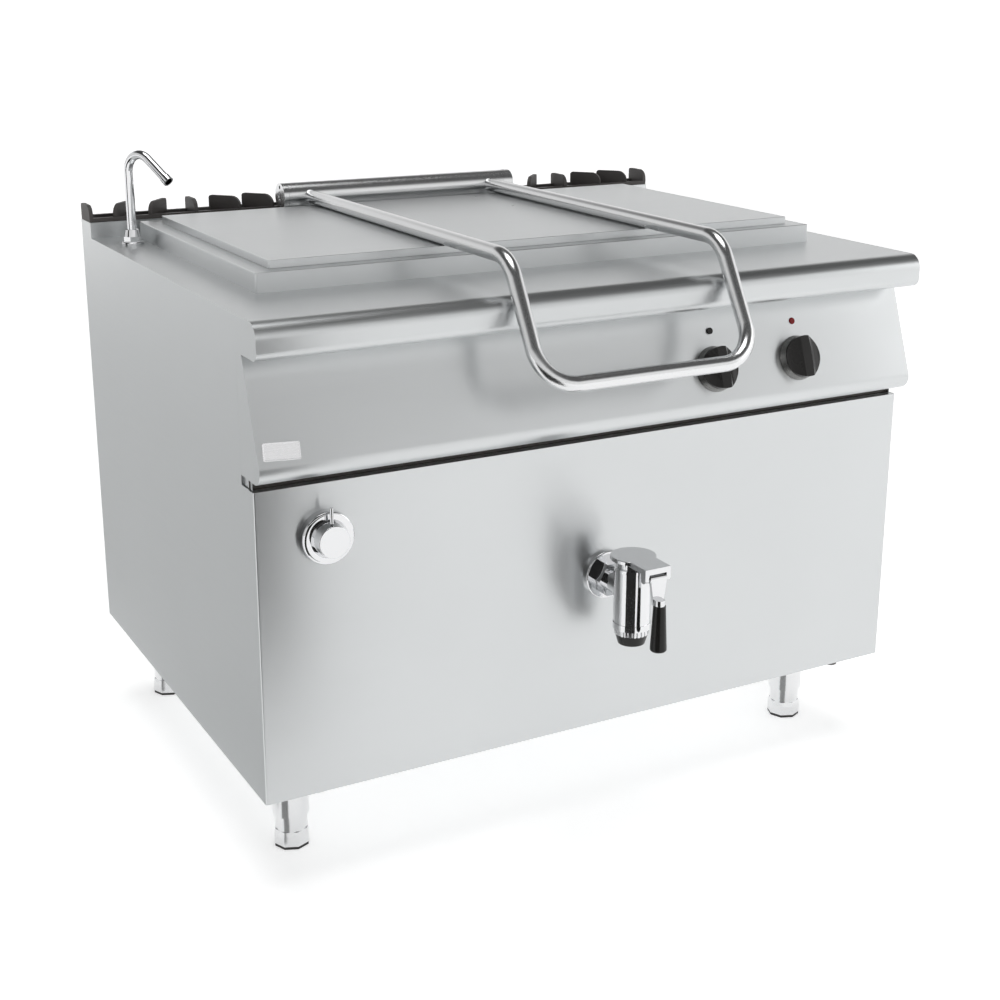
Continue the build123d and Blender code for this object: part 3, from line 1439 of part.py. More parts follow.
# Burner feed: from the right control valve down and along the ends of the burner tubes.
feed_start = fascia_plane.from_local_coords(
    (
        knob_x[1],
        -(knob_down + control_valve_height / 2 - feed_radius),
        -(sheet + control_valve_depth),
    )
)
feed_corner = feed_start - panel_normal * feed_step
with BuildPart() as burner_feed:
    with BuildLine() as feed_route:
        FilletPolyline(
            feed_start,
            feed_corner,
            (knob_x[1], feed_corner.Y, feed_turn_height),
            (feed_x, feed_corner.Y, burner_height),
            (feed_x, well_center_y + bracket_length / 2, burner_height),
            radius=feed_bend,
        )
    with BuildSketch(Plane(origin=feed_start, z_dir=feed_route.line % 0)):
        Circle(feed_radius)
    sweep(path=feed_route.line)
    with BuildSketch(Plane.YZ.offset(burner_end_x + fit_gap)):
        with Locations((well_center_y, burner_height)):
            with GridLocations(burner_pitch, 0, burner_count, 1):
                Circle(injector_radius)
    extrude(amount=feed_x - burner_end_x - fit_gap)
burner_feed.part.label = "burner_feed"
export_step(burner_feed.part, "parts/burner_feed.step")
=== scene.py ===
import math

import bmesh
import bpy
from mathutils import Matrix, Vector


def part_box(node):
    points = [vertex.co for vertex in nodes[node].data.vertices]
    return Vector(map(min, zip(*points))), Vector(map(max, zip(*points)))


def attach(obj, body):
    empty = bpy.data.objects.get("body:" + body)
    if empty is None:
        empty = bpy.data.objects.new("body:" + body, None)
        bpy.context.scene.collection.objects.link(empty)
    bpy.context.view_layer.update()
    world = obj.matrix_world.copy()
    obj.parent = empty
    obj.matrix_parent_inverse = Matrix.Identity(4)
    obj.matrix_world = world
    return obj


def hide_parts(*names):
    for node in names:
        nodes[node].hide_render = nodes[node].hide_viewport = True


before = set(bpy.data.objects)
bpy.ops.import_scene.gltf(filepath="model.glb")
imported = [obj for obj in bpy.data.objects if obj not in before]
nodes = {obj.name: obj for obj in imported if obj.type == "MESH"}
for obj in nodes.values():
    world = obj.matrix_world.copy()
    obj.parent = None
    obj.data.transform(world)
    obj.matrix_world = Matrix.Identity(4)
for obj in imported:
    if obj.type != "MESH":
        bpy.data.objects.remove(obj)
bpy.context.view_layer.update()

ALONG_X, ALONG_Y, ALONG_Z = 0, 1, 2
GRAIN_ACROSS, GRAIN_ALONG = 1200.0, 6.0
GRAIN_BUMP, GRAIN_DEPTH = 0.04, 0.0002
MILLIMETRE = 0.001
WELD_DISTANCE = 1e-5
SMOOTH_ANGLE = math.radians(35)
FACE_WEIGHT = 50
EVEN = (1.0, 1.0, 1.0)
NOISE_LOW, NOISE_HIGH = 0.3, 0.7
SMEAR_SCALE = 3.0
RIPPLE_SCALE, RIPPLE_BUMP, RIPPLE_DEPTH, HAZE_SCALE = 40.0, 0.02, 0.001, 9.0
SPARK_SCALE, SPARK_BUMP, SPARK_DEPTH, PATCH_SCALE = 900.0, 0.12, 0.0003, 30.0
PIT_SCALE, PIT_BUMP, PIT_DEPTH, CLOUD_SCALE = 350.0, 0.3, 0.0006, 25.0
ENAMEL_DARK, ENAMEL_LIGHT = (0.05, 0.045, 0.043), (0.085, 0.078, 0.074)
ENAMEL_ROUGH_LOW, ENAMEL_ROUGH_HIGH = 0.42, 0.6
RIB_SCALE, RIB_BUMP, RIB_DEPTH = 700.0, 0.2, 0.0004
LENS_DARK, LENS_LIGHT = (0.1, 0.002, 0.003), (0.3, 0.008, 0.01)
LENS_ROUGHNESS, LENS_SHINE = 0.25, 0.25


# ------------------------------------------------------------------ material helpers
def new_material(name):
    """An empty node material with its output and principled shader."""
    material = bpy.data.materials.new(name)
    material.use_nodes = True
    tree = material.node_tree
    tree.nodes.clear()
    output = tree.nodes.new("ShaderNodeOutputMaterial")
    shader = tree.nodes.new("ShaderNodeBsdfPrincipled")
    tree.links.new(shader.outputs["BSDF"], output.inputs["Surface"])
    return material, tree, shader


def stretched_noise(tree, scale, stretch, detail=3.0, roughness=0.55):
    """Noise on object coordinates, drawn out along one axis by a mapping."""
    coordinates = tree.nodes.new("ShaderNodeTexCoord")
    mapping = tree.nodes.new("ShaderNodeMapping")
    mapping.inputs["Scale"].default_value = stretch
    noise = tree.nodes.new("ShaderNodeTexNoise")
    noise.inputs["Scale"].default_value = scale
    noise.inputs["Detail"].default_value = detail
    noise.inputs["Roughness"].default_value = roughness
    tree.links.new(coordinates.outputs["Object"], mapping.inputs["Vector"])
    tree.links.new(mapping.outputs["Vector"], noise.inputs["Vector"])
    return noise


def remap(tree, source, low, high):
    """Maps the middle of a noise's range to low to high."""
    node = tree.nodes.new("ShaderNodeMapRange")
    node.inputs["From Min"].default_value = NOISE_LOW
    node.inputs["From Max"].default_value = NOISE_HIGH
    node.inputs["To Min"].default_value = low
    node.inputs["To Max"].default_value = high
    tree.links.new(source, node.inputs["Value"])
    return node.outputs["Result"]


def mix_colors(tree, factor, first, second):
    """A colour between first and second, by factor."""
    node = tree.nodes.new("ShaderNodeMix")
    node.data_type = "RGBA"
    node.inputs["A"].default_value = (*first, 1)
    node.inputs["B"].default_value = (*second, 1)
    tree.links.new(factor, node.inputs["Factor"])
    return node.outputs["Result"]


def add_bump(tree, shader, height, strength, distance):
    """Bump from a height value."""
    bump = tree.nodes.new("ShaderNodeBump")
    bump.inputs["Strength"].default_value = strength
    bump.inputs["Distance"].default_value = distance
    tree.links.new(height, bump.inputs["Height"])
    tree.links.new(bump.outputs["Normal"], shader.inputs["Normal"])


def brushed_steel(name, grain, light, dark, rough_low, rough_high, sheen=0.7):
    """Stainless sheet: fine lines along the grain axis, a sheen drawn out across them, and
    broad faint smears."""
    material, tree, shader = new_material(name)
    stretch = [GRAIN_ACROSS] * 3
    stretch[grain] = GRAIN_ALONG
    lines = stretched_noise(tree, 1.0, stretch)
    smears = stretched_noise(tree, SMEAR_SCALE, EVEN, detail=2.0)
    shader.inputs["Metallic"].default_value = 1.0
    shader.inputs["Anisotropic"].default_value = sheen
    sheen_axis = tree.nodes.new("ShaderNodeCombineXYZ")
    sheen_axis.inputs["Y" if grain == ALONG_Z else "Z"].default_value = 1.0
    tree.links.new(sheen_axis.outputs["Vector"], shader.inputs["Tangent"])
    tree.links.new(mix_colors(tree, smears.outputs["Fac"], dark, light), shader.inputs["Base Color"])
    tree.links.new(remap(tree, lines.outputs["Fac"], rough_low, rough_high), shader.inputs["Roughness"])
    add_bump(tree, shader, lines.outputs["Fac"], GRAIN_BUMP, GRAIN_DEPTH)
    return material


def polished_metal(name, light, dark, rough_low, rough_high):
    """Chrome or polished tube: nearly clear reflections with a faint ripple."""
    material, tree, shader = new_material(name)
    ripple = stretched_noise(tree, RIPPLE_SCALE, EVEN, detail=1.0)
    haze = stretched_noise(tree, HAZE_SCALE, EVEN)
    shader.inputs["Metallic"].default_value = 1.0
    tree.links.new(mix_colors(tree, haze.outputs["Fac"], dark, light), shader.inputs["Base Color"])
    tree.links.new(remap(tree, haze.outputs["Fac"], rough_low, rough_high), shader.inputs["Roughness"])
    add_bump(tree, shader, ripple.outputs["Fac"], RIPPLE_BUMP, RIPPLE_DEPTH)
    return material


def moulded_plastic(name, light, dark, rough_low, rough_high, shine=0.5):
    """Moulded plastic with a fine spark-eroded grain."""
    material, tree, shader = new_material(name)
    grain = stretched_noise(tree, SPARK_SCALE, EVEN, detail=2.0)
    patches = stretched_noise(tree, PATCH_SCALE, EVEN)
    shader.inputs["Specular IOR Level"].default_value = shine
    tree.links.new(mix_colors(tree, patches.outputs["Fac"], dark, light), shader.inputs["Base Color"])
    tree.links.new(remap(tree, patches.outputs["Fac"], rough_low, rough_high), shader.inputs["Roughness"])
    add_bump(tree, shader, grain.outputs["Fac"], SPARK_BUMP, SPARK_DEPTH)
    return material


def cast_enamel(name):
    """Cast iron under a thin dark enamel: pitted, slightly uneven, satin."""
    material, tree, shader = new_material(name)
    pits = stretched_noise(tree, PIT_SCALE, EVEN, detail=4.0)
    cloud = stretched_noise(tree, CLOUD_SCALE, EVEN)
    color = mix_colors(tree, cloud.outputs["Fac"], ENAMEL_DARK, ENAMEL_LIGHT)
    tree.links.new(color, shader.inputs["Base Color"])
    roughness = remap(tree, cloud.outputs["Fac"], ENAMEL_ROUGH_LOW, ENAMEL_ROUGH_HIGH)
    tree.links.new(roughness, shader.inputs["Roughness"])
    add_bump(tree, shader, pits.outputs["Fac"], PIT_BUMP, PIT_DEPTH)
    return material


def lamp_lens(name):
    """Red moulded lens with a ribbed inside."""
    material, tree, shader = new_material(name)
    ribs = stretched_noise(tree, RIB_SCALE, EVEN, detail=1.0)
    color = mix_colors(tree, ribs.outputs["Fac"], LENS_DARK, LENS_LIGHT)
    tree.links.new(color, shader.inputs["Base Color"])
    shader.inputs["Roughness"].default_value = LENS_ROUGHNESS
    shader.inputs["Specular IOR Level"].default_value = LENS_SHINE
    add_bump(tree, shader, ribs.outputs["Fac"], RIB_BUMP, RIB_DEPTH)
    return material


# ------------------------------------------------------------------ materials
STEEL_LIGHT, STEEL_DARK = (0.66, 0.675, 0.68), (0.62, 0.635, 0.64)
TUBE_LIGHT, TUBE_DARK = (0.8, 0.805, 0.81), (0.74, 0.745, 0.75)
steel_across = brushed_steel("steel_grain_across", ALONG_X, STEEL_LIGHT, STEEL_DARK, 0.28, 0.34)
steel_deep = brushed_steel("steel_grain_deep", ALONG_Y, STEEL_LIGHT, STEEL_DARK, 0.28, 0.34)
steel_tube = brushed_steel("steel_tube", ALONG_X, TUBE_LIGHT, TUBE_DARK, 0.2, 0.26, sheen=0.3)
steel_tube_deep = brushed_steel("steel_tube_deep", ALONG_Y, TUBE_LIGHT, TUBE_DARK, 0.2, 0.26, sheen=0.0)
steel_upright = brushed_steel("steel_upright", ALONG_Z, TUBE_LIGHT, TUBE_DARK, 0.18, 0.26, sheen=0.0)
SKIRT_LIGHT, SKIRT_DARK = (0.3, 0.295, 0.285), (0.24, 0.235, 0.23)
steel_skirt = brushed_steel("steel_skirt", ALONG_Z, SKIRT_LIGHT, SKIRT_DARK, 0.24, 0.32, sheen=0.0)
PLATE_LIGHT, PLATE_DARK = (0.88, 0.88, 0.89), (0.84, 0.84, 0.85)
plate_metal = brushed_steel("plate_metal", ALONG_X, PLATE_LIGHT, PLATE_DARK, 0.22, 0.3, sheen=0.2)
chrome = polished_metal("chrome", (0.8, 0.805, 0.815), (0.74, 0.745, 0.755), 0.03, 0.07)
brass = polished_metal("brass_casting", (0.78, 0.62, 0.34), (0.62, 0.47, 0.24), 0.3, 0.42)
# Dark brown paint: real paint on the gas pipes; on the front crossbar, in the slot under the fascia, the
# same dark colour is painted shade.
pipe_paint_and_slot_shade = moulded_plastic("pipe_paint_and_slot_shade", (0.075, 0.068, 0.06), (0.045, 0.04, 0.036), 0.4, 0.55)
PLASTIC_LIGHT, PLASTIC_DARK = (0.012, 0.011, 0.01), (0.006, 0.0055, 0.005)
black_plastic = moulded_plastic("black_plastic", PLASTIC_LIGHT, PLASTIC_DARK, 0.2, 0.3, shine=0.3)
black_rubber = moulded_plastic("black_rubber", (0.03, 0.028, 0.027), (0.015, 0.014, 0.013), 0.5, 0.65)
enamel = cast_enamel("cast_enamel")
red_lens = lamp_lens("red_lens")

MATERIAL_NODES = {
    steel_across: (
        "worktop", "rear_upstand", "pan_rim", "front_panel", "rear_panel", "control_panel",
        "lid_skin", "lid_liner", "cooking_well", "steam_jacket", "base_tray",
        "flue_ducts", "burner_tubes",
    ),
    steel_deep: ("side_panel_left", "side_panel_right"),
    steel_tube: ("hinge_barrel", "hinge_end_left", "hinge_end_right", "hinge_shaft"),
    steel_tube_deep: ("lid_handle",),
    steel_upright: (
        "foot_sockets", "drain_pipe", "water_supply_pipe", "water_riser",
        "foot_leg_front_left", "foot_leg_front_right", "foot_leg_back_left", "foot_leg_back_right",
    ),
    steel_skirt: ("knob_skirt_left", "knob_skirt_right"),
    chrome: (
        "tap_flange", "tap_nut", "tap_body", "tap_ring", "tap_cap", "drain_lever", "valve_rosette",
        "water_lever", "spout_nut", "spout",
    ),
    brass: ("control_valves", "tap_plunger", "water_valve_body"),
    # front_crossbar takes this dark colour as painted shade for the shaded slot under the fascia.
    pipe_paint_and_slot_shade: ("gas_manifold", "burner_feed", "front_crossbar"),
    black_plastic: (
        "knob_left", "knob_right", "igniter_button", "igniter_body", "lever_grip", "tap_outlet",
    ),
    black_rubber: (
        "foot_pad_front_left", "foot_pad_front_right", "foot_pad_back_left", "foot_pad_back_right",
    ),
    enamel: ("flue_grille_left", "flue_grille_right"),
    red_lens: ("pilot_lamp",),
}
for material, names in MATERIAL_NODES.items():
    for name in names:
        nodes[name].data.materials.clear()
        nodes[name].data.materials.append(material)


# ------------------------------------------------------------------ smooth shading
def build_smoothing():
    """A node group that welds a tessellated solid and shades its bends smooth, leaving real
    corners sharp."""
    group = bpy.data.node_groups.new("smooth_bends", "GeometryNodeTree")
    group.interface.new_socket("Geometry", in_out="INPUT", socket_type="NodeSocketGeometry")
    group.interface.new_socket("Geometry", in_out="OUTPUT", socket_type="NodeSocketGeometry")
    start = group.nodes.new("NodeGroupInput")
    weld = group.nodes.new("GeometryNodeMergeByDistance")
    weld.inputs["Distance"].default_value = WELD_DISTANCE
    forget = group.nodes.new("GeometryNodeRemoveAttribute")
    forget.inputs["Name"].default_value = "custom_normal"
    faces = group.nodes.new("GeometryNodeSetShadeSmooth")
    edges = group.nodes.new("GeometryNodeSetShadeSmooth")
    edges.domain = "EDGE"
    angle = group.nodes.new("GeometryNodeInputMeshEdgeAngle")
    gentle = group.nodes.new("FunctionNodeCompare")
    gentle.operation = "LESS_THAN"
    gentle.inputs["B"].default_value = SMOOTH_ANGLE
    end = group.nodes.new("NodeGroupOutput")
    group.links.new(start.outputs["Geometry"], weld.inputs["Geometry"])
    group.links.new(weld.outputs["Geometry"], forget.inputs["Geometry"])
    group.links.new(forget.outputs["Geometry"], faces.inputs["Geometry"])
    group.links.new(faces.outputs["Geometry"], edges.inputs["Geometry"])
    group.links.new(angle.outputs["Unsigned Angle"], gentle.inputs["A"])
    group.links.new(gentle.outputs["Result"], edges.inputs["Shade Smooth"])
    group.links.new(edges.outputs["Geometry"], end.inputs["Geometry"])
    return group


def smooth_bends(piece):
    """Smooth shading whose normals follow the large faces."""
    piece.modifiers.new("smooth_bends", "NODES").node_group = smoothing
    weighted = piece.modifiers.new("flat_faces", "WEIGHTED_NORMAL")
    weighted.weight = FACE_WEIGHT
    weighted.keep_sharp = True


smoothing = build_smoothing()
for node in nodes.values():
    smooth_bends(node)


# ------------------------------------------------------------------ pieces
def add_piece(name, maker, material, body):
    """A mesh piece with a finish, riding on a body."""
    mesh = bpy.data.meshes.new(name)
    bmesh.ops.recalc_face_normals(maker, faces=maker.faces)
    maker.to_mesh(mesh)
    maker.free()
    mesh.materials.append(material)
    piece = bpy.data.objects.new(name, mesh)
    bpy.context.scene.collection.objects.link(piece)
    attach(piece, body)
    return piece


def soften_edges(piece, width, segments=3):
    """Small rounds on a piece's own edges."""
    bevel = piece.modifiers.new("edge_round", "BEVEL")
    bevel.width = width
    bevel.segments = segments
    bevel.limit_method = "ANGLE"
    bevel.angle_limit = SMOOTH_ANGLE


def build_fascia():
    """The control panel's folded sheet with its rolled lower edge and closed ends."""
    low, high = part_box("control_panel")
    lean_run = (high[2] - low[2]) * math.tan(FASCIA_LEAN)
    tangent = FASCIA_ROLL / math.tan((math.pi / 2 - FASCIA_LEAN) / 2)
    center_y, center_z = low[1] + tangent, low[2] + FASCIA_ROLL
    profile = [(low[1] + lean_run, high[2])]
    for step in range(ROLL_STEPS + 1):
        turn = math.pi - FASCIA_LEAN + (math.pi / 2 + FASCIA_LEAN) * step / ROLL_STEPS
        profile.append((center_y + FASCIA_ROLL * math.cos(turn), center_z + FASCIA_ROLL * math.sin(turn)))
    profile.append((high[1], low[2]))
    maker = bmesh.new()
    rows = [[maker.verts.new((x, y, z)) for y, z in profile] for x in (low[0], high[0])]
    backs = [maker.verts.new((x, high[1], high[2])) for x in (low[0], high[0])]
    for left, right, left_next, right_next in zip(rows[0], rows[1], rows[0][1:], rows[1][1:]):
        maker.faces.new((left, right, right_next, left_next)).smooth = True
    for row, back in zip(rows, backs):
        maker.faces.new((*row, back))
    fascia = add_piece("control_fascia", maker, steel_across, "cabinet")
    fold = fascia.modifiers.new("sheet", "SOLIDIFY")
    fold.thickness = FASCIA_SHEET
    fold.offset = -1.0
    soften_edges(fascia, EDGE_ROUND)
    smooth_bends(fascia)
    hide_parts("control_panel")


def rounded_outline(width, height, radius, steps=5):
    """Points of a rounded rectangle about the origin."""
    points = []
    for corner in range(4):
        across = (width / 2 - radius) * (1 if corner in (0, 3) else -1)
        along = (height / 2 - radius) * (1 if corner < 2 else -1)
        for step in range(steps + 1):
            turn = math.pi / 2 * (corner + step / steps)
            points.append((across + radius * math.cos(turn), along + radius * math.sin(turn)))
    return points


def build_badge():
    """A bare plate stuck on the fascia: a pressed tablet with a raised border."""
    low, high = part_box("control_panel")
    down_slope = Vector((0, -math.sin(FASCIA_LEAN), -math.cos(FASCIA_LEAN)))
    outward = Vector((0, -math.cos(FASCIA_LEAN), math.sin(FASCIA_LEAN)))
    top_line = Vector((low[0], low[1] + (high[2] - low[2]) * math.tan(FASCIA_LEAN), high[2]))
    center = top_line + Vector((BADGE_FROM_LEFT, 0, 0)) + down_slope * BADGE_DOWN
    across = Vector((math.cos(BADGE_TILT), 0, 0)) + down_slope * math.sin(BADGE_TILT)
    along = down_slope * math.cos(BADGE_TILT) - Vector((math.sin(BADGE_TILT), 0, 0))
    maker = bmesh.new()
    rings = []
    for inset, lift in BADGE_STEPS:
        outline = rounded_outline(BADGE_WIDTH - 2 * inset, BADGE_HEIGHT - 2 * inset, BADGE_CORNER - inset)
        rings.append(
            [maker.verts.new(center + across * x - along * y + outward * lift) for x, y in outline]
        )
    for outer, inner in zip(rings, rings[1:]):
        count = len(outer)
        for index in range(count):
            following = (index + 1) % count
            maker.faces.new((outer[index], outer[following], inner[following], inner[index])).smooth = True
    maker.faces.new(rings[-1])
    maker.faces.new(rings[0])
    badge = add_piece("blank_plate", maker, plate_metal, "cabinet")
    smooth_bends(badge)


def build_lid_studs():
    """The low domed heads of the welded studs that hold the liner under the lid's skin."""
    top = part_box("lid_skin")[1][2]
    for number, (x, y) in enumerate(STUD_PLACES):
        maker = bmesh.new()
        rings = []
        for share in range(STUD_RINGS + 1):
            turn = math.pi / 2 * share / (STUD_RINGS + 1)
            rings.append(
                [
                    maker.verts.new(
                        (
                            x + STUD_RADIUS * math.cos(turn) * math.cos(math.tau * spoke / STUD_SPOKES),
                            y + STUD_RADIUS * math.cos(turn) * math.sin(math.tau * spoke / STUD_SPOKES),
                            top + STUD_HEIGHT * math.sin(turn),
                        )
                    )
                    for spoke in range(STUD_SPOKES)
                ]
            )
        for outer, inner in zip(rings, rings[1:]):
            for spoke in range(STUD_SPOKES):
                following = (spoke + 1) % STUD_SPOKES
                around = (outer[spoke], outer[following], inner[following], inner[spoke])
                maker.faces.new(around).smooth = True
        maker.faces.new(rings[-1])
        maker.faces.new(rings[0])
        add_piece("lid_stud_" + "abc"[number], maker, steel_upright, "lid")


def build_corner_flanges():
    """The side panels' forward flanges, which close the ends of the slot under the fascia."""
    fascia_low, fascia_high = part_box("control_panel")
    front_low, front_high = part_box("front_panel")
    for name, outer, inward in (
        ("slot_end_left", fascia_low[0], 1),
        ("slot_end_right", fascia_high[0], -1),
    ):
        maker = bmesh.new()
        layers = []
        for depth in (FLANGE_INSET, FLANGE_INSET + FASCIA_SHEET):
            x = outer + inward * depth
            layers.append(
                [
                    maker.verts.new((x, y, z))
                    for y, z in (
                        (front_low[1] + FLANGE_SETBACK, front_high[2] - FLANGE_LAP),
                        (fascia_high[1], front_high[2] - FLANGE_LAP),
                        (fascia_high[1], fascia_low[2] + FLANGE_LAP),
                        (front_low[1] + FLANGE_SETBACK, fascia_low[2] + FLANGE_LAP),
                    )
                ]
            )
        maker.faces.new(layers[0])
        maker.faces.new(layers[1])
        for index in range(4):
            following = (index + 1) % 4
            maker.faces.new(
                (layers[0][index], layers[0][following], layers[1][following], layers[1][index])
            )
        soften_edges(add_piece(name, maker, steel_deep, "cabinet"), EDGE_ROUND / 2)


FLANGE_INSET, FLANGE_SETBACK, FLANGE_LAP = 3 * MILLIMETRE, 12 * MILLIMETRE, 4 * MILLIMETRE
FASCIA_LEAN = math.radians(19.5)
FASCIA_ROLL, FASCIA_SHEET, ROLL_STEPS = 22 * MILLIMETRE, 1.5 * MILLIMETRE, 14
EDGE_ROUND = 0.5 * MILLIMETRE
BADGE_WIDTH, BADGE_HEIGHT, BADGE_CORNER = 57 * MILLIMETRE, 27 * MILLIMETRE, 3 * MILLIMETRE
BADGE_FROM_LEFT, BADGE_DOWN, BADGE_TILT = 37.2 * MILLIMETRE, 142.7 * MILLIMETRE, math.radians(3.4)
BADGE_STEPS = (
    (0.0, -0.2 * MILLIMETRE),
    (0.0, 0.6 * MILLIMETRE),
    (0.3 * MILLIMETRE, 1.0 * MILLIMETRE),
    (1.6 * MILLIMETRE, 1.0 * MILLIMETRE),
    (2.2 * MILLIMETRE, 0.4 * MILLIMETRE),
)
STUD_PLACES = ((-0.123, 0.2025), (0.127, 0.3435), (0.127, 0.1965))
STUD_RADIUS, STUD_HEIGHT, STUD_RINGS, STUD_SPOKES = 2.6 * MILLIMETRE, 0.8 * MILLIMETRE, 3, 20
build_fascia()
build_badge()
build_lid_studs()
build_corner_flanges()


# ------------------------------------------------------------------ stage
def build_floor():
    """A large pale floor, lit a little from below, with a very faint mottle."""
    mesh = bpy.data.meshes.new("floor")
    maker = bmesh.new()
    bmesh.ops.create_grid(maker, x_segments=FLOOR_CELLS, y_segments=FLOOR_CELLS, size=FLOOR_HALF_SIZE)
    maker.to_mesh(mesh)
    maker.free()
    floor = bpy.data.objects.new("floor", mesh)
    bpy.context.scene.collection.objects.link(floor)
    material, tree, shader = new_material("floor_paper")
    mottle = stretched_noise(tree, MOTTLE_SCALE, EVEN)
    color = mix_colors(tree, mottle.outputs["Fac"], FLOOR_DARK, FLOOR_LIGHT)
    tree.links.new(color, shader.inputs["Base Color"])
    shader.inputs["Roughness"].default_value = FLOOR_ROUGHNESS
    shader.inputs["Emission Color"].default_value = (1, 1, 1, 1)
    shader.inputs["Emission Strength"].default_value = FLOOR_GLOW
    mesh.materials.append(material)


def add_area_light(name, place, target, size, power):
    """A rectangular soft box at place, turned towards target."""
    light = bpy.data.lights.new(name, "AREA")
    light.shape = "RECTANGLE"
    light.size, light.size_y = size
    light.energy = power
    lamp = bpy.data.objects.new(name, light)
    lamp.location = place
    lamp.rotation_euler = (Vector(target) - Vector(place)).to_track_quat("-Z", "Y").to_euler()
    bpy.context.scene.collection.objects.link(lamp)
    return lamp


def add_overhead_light():
    """Broad soft light from straight above."""
    light = bpy.data.lights.new("overhead", "SUN")
    light.energy = OVERHEAD_ENERGY
    light.angle = OVERHEAD_SPREAD
    lamp = bpy.data.objects.new("overhead", light)
    bpy.context.scene.collection.objects.link(lamp)


def add_ramp(tree, source, stops):
    """A grey ramp over source, from pairs of place and grey."""
    ramp = tree.nodes.new("ShaderNodeValToRGB")
    elements = ramp.color_ramp.elements
    while len(elements) > 1:
        elements.remove(elements[-1])
    elements[0].position = stops[0][0]
    elements[0].color = (*[stops[0][1]] * 3, 1)
    for place, grey in stops[1:]:
        elements.new(place).color = (grey, grey, grey, 1)
    tree.links.new(source, ramp.inputs["Fac"])
    return ramp.outputs["Color"]


def build_world():
    """Studio surroundings: a level band of light, a dim ceiling above it that gives the metal
    its dark lines, and the light dying away towards the left."""
    world = bpy.data.worlds.new("studio")
    bpy.context.scene.world = world
    world.use_nodes = True
    tree = world.node_tree
    tree.nodes.clear()
    output = tree.nodes.new("ShaderNodeOutputWorld")
    background = tree.nodes.new("ShaderNodeBackground")
    coordinates = tree.nodes.new("ShaderNodeTexCoord")
    separate = tree.nodes.new("ShaderNodeSeparateXYZ")
    sideways = tree.nodes.new("ShaderNodeMapRange")
    product = tree.nodes.new("ShaderNodeVectorMath")
    product.operation = "MULTIPLY"
    sideways.inputs["From Min"].default_value = -1.0
    tree.links.new(coordinates.outputs["Generated"], separate.inputs["Vector"])
    tree.links.new(separate.outputs["X"], sideways.inputs["Value"])
    tree.links.new(add_ramp(tree, separate.outputs["Z"], WORLD_STOPS), product.inputs[0])
    tree.links.new(add_ramp(tree, sideways.outputs["Result"], WORLD_SIDE_STOPS), product.inputs[1])
    tree.links.new(product.outputs["Vector"], background.inputs["Color"])
    tree.links.new(background.outputs["Background"], output.inputs["Surface"])
    background.inputs["Strength"].default_value = WORLD_STRENGTH


def add_backdrop(name, maker, cloth):
    """A stage mesh that only shows in reflections."""
    mesh = bpy.data.meshes.new(name)
    maker.to_mesh(mesh)
    maker.free()
    backdrop = bpy.data.objects.new(name, mesh)
    bpy.context.scene.collection.objects.link(backdrop)
    backdrop.visible_camera = False
    backdrop.visible_diffuse = False
    backdrop.visible_shadow = False
    mesh.materials.append(cloth)


def build_flag(name, center, start, end, bottom, top, radius, cloth):
    """A studio flag bent about an upright axis at center, which only shows in reflections;
    angles run from the front towards the left, in degrees."""
    maker = bmesh.new()
    rows = []
    for height in (bottom, top):
        row = []
        for index in range(FLAG_STEPS + 1):
            angle = math.radians(start + (end - start) * index / FLAG_STEPS)
            place = Vector((-math.sin(angle) * radius, -math.cos(angle) * radius, height))
            row.append(maker.verts.new(place + Vector((center[0], center[1], 0))))
        rows.append(row)
    for index in range(FLAG_STEPS):
        maker.faces.new((rows[0][index], rows[0][index + 1], rows[1][index + 1], rows[1][index]))
    add_backdrop(name, maker, cloth)


def middle_of(node):
    """The middle of a node's box."""
    low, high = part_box(node)
    return (low[0] + high[0]) / 2, (low[1] + high[1]) / 2, (low[2] + high[2]) / 2


def build_mat(name, low, high):
    """A pale mat on the floor, beside the object, that only shows in reflections."""
    maker = bmesh.new()
    corners = ((low[0], low[1]), (high[0], low[1]), (high[0], high[1]), (low[0], high[1]))
    maker.faces.new([maker.verts.new((x, y, MAT_HEIGHT)) for x, y in corners])
    add_backdrop(name, maker, mat_cloth)


def build_camera():
    """The camera, as placed by the fit to the object's edges."""
    forward = Vector(
        (
            -math.sin(CAMERA_AZIMUTH) * math.cos(CAMERA_ELEVATION),
            math.cos(CAMERA_AZIMUTH) * math.cos(CAMERA_ELEVATION),
            -math.sin(CAMERA_ELEVATION),
        )
    )
    data = bpy.data.cameras.new("camera")
    data.sensor_fit = "HORIZONTAL"
    data.sensor_width = CAMERA_SENSOR
    data.lens = CAMERA_LENS
    data.shift_x, data.shift_y = CAMERA_SHIFT
    data.clip_end = CAMERA_REACH
    camera = bpy.data.objects.new("camera", data)
    turn = forward.to_track_quat("-Z", "Y").to_matrix().to_4x4()
    camera.matrix_world = Matrix.Translation(CAMERA_PLACE) @ turn @ Matrix.Rotation(CAMERA_ROLL, 4, "Z")
    bpy.context.scene.collection.objects.link(camera)
    bpy.context.scene.camera = camera


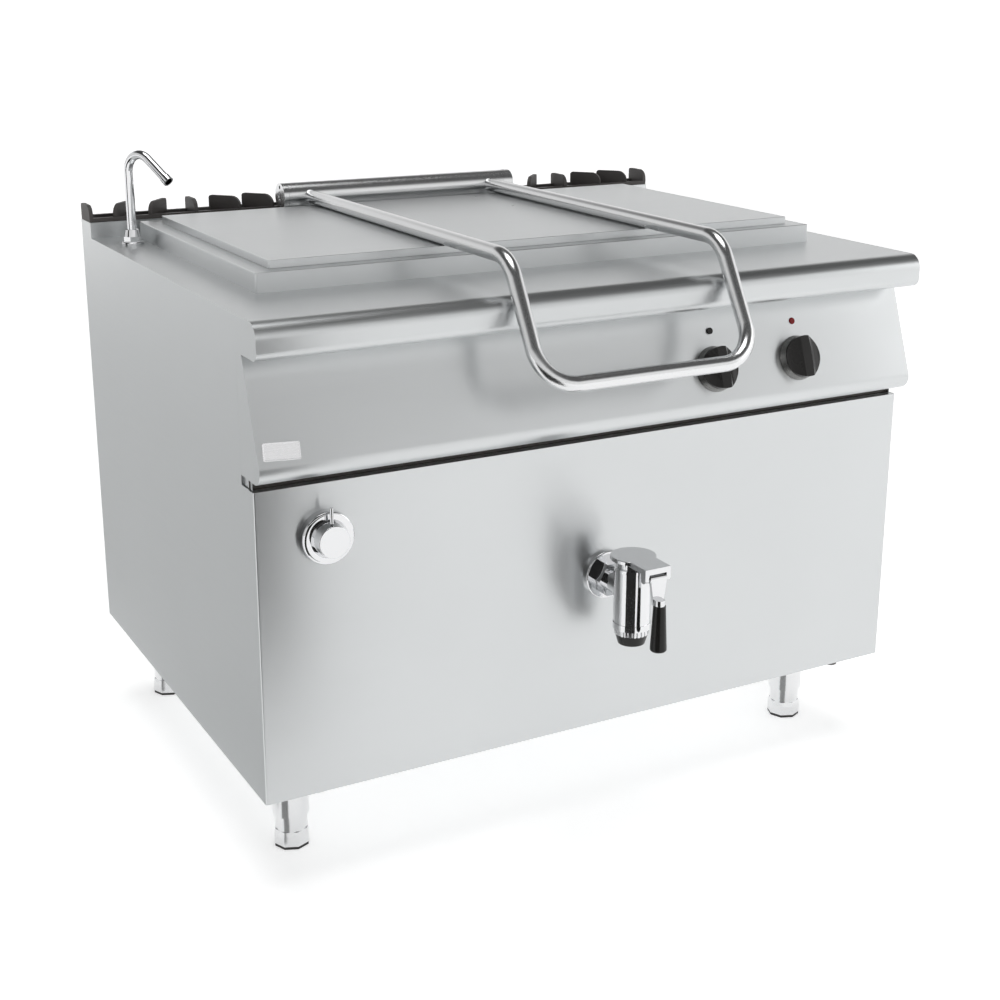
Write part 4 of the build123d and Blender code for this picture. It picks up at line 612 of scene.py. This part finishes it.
WORLD_STOPS = ((0.0, 1.0), (0.44, 1.0), (0.52, 0.5), (0.6, 0.08), (0.96, 0.08), (1.0, 0.3))
WORLD_SIDE_STOPS = ((0.0, 0.8), (0.35, 0.92), (0.65, 1.0), (1.0, 1.08))
WORLD_STRENGTH = 0.9
FLOOR_HALF_SIZE, FLOOR_CELLS, FLOOR_GLOW, FLOOR_ROUGHNESS = 200.0, 8, 0.54, 0.9
FLOOR_DARK, FLOOR_LIGHT, MOTTLE_SCALE = (0.86, 0.86, 0.86), (0.9, 0.9, 0.9), 1.5
OVERHEAD_ENERGY, OVERHEAD_SPREAD = 1.1, math.radians(40)
flag_cloth = moulded_plastic("flag_cloth", (0.012, 0.011, 0.01), (0.008, 0.008, 0.008), 0.8, 0.9)
grey_cloth = moulded_plastic("grey_cloth", (0.5, 0.5, 0.5), (0.46, 0.46, 0.46), 0.8, 0.9)
mat_cloth = moulded_plastic("mat_cloth", (0.97, 0.98, 0.98), (0.94, 0.95, 0.95), 0.8, 0.9)
MAT_HEIGHT = 4 * MILLIMETRE
MAT_LOW, MAT_HIGH = (-4.0, -0.2), (-0.66, 6.0)
FLAG_STEPS = 8
FRONT_FLAG = (14, 72, 0.0, 0.8, 0.85)
SPOUT_FLAG = (70, 92, 0.88, 1.06, 0.2)
FOOT_FLAG = (32, 62, 0.0, 0.12, 0.05)
FILL_PLACE, FILL_TARGET, FILL_SIZE, FILL_POWER = (3.4, -2.2, 1.7), (0.6, -0.9, 0.3), (1.6, 2.0), 9
CAMERA_AZIMUTH, CAMERA_ELEVATION = math.radians(-28.629), math.radians(16.206)
CAMERA_ROLL = math.radians(0.085)
CAMERA_PLACE = Vector((-1.3292, -2.4112, 1.3639))
CAMERA_SENSOR, CAMERA_LENS, CAMERA_SHIFT, CAMERA_REACH = 36.0, 57.355, (0.0029, -0.0594), 1000.0
build_floor()
build_world()
build_mat("backdrop_mat", MAT_LOW, MAT_HIGH)
build_flag("backdrop_flag_front", middle_of("tap_body"), *FRONT_FLAG, flag_cloth)
build_flag("backdrop_flag_spout", middle_of("spout_nut"), *SPOUT_FLAG, flag_cloth)
for foot in ("front_left", "front_right", "back_left", "back_right"):
    build_flag("backdrop_flag_" + foot, middle_of("foot_leg_" + foot), *FOOT_FLAG, grey_cloth)
add_overhead_light()
add_area_light("fill", FILL_PLACE, FILL_TARGET, FILL_SIZE, FILL_POWER)
build_camera()
bpy.context.scene.view_settings.view_transform = "Standard"
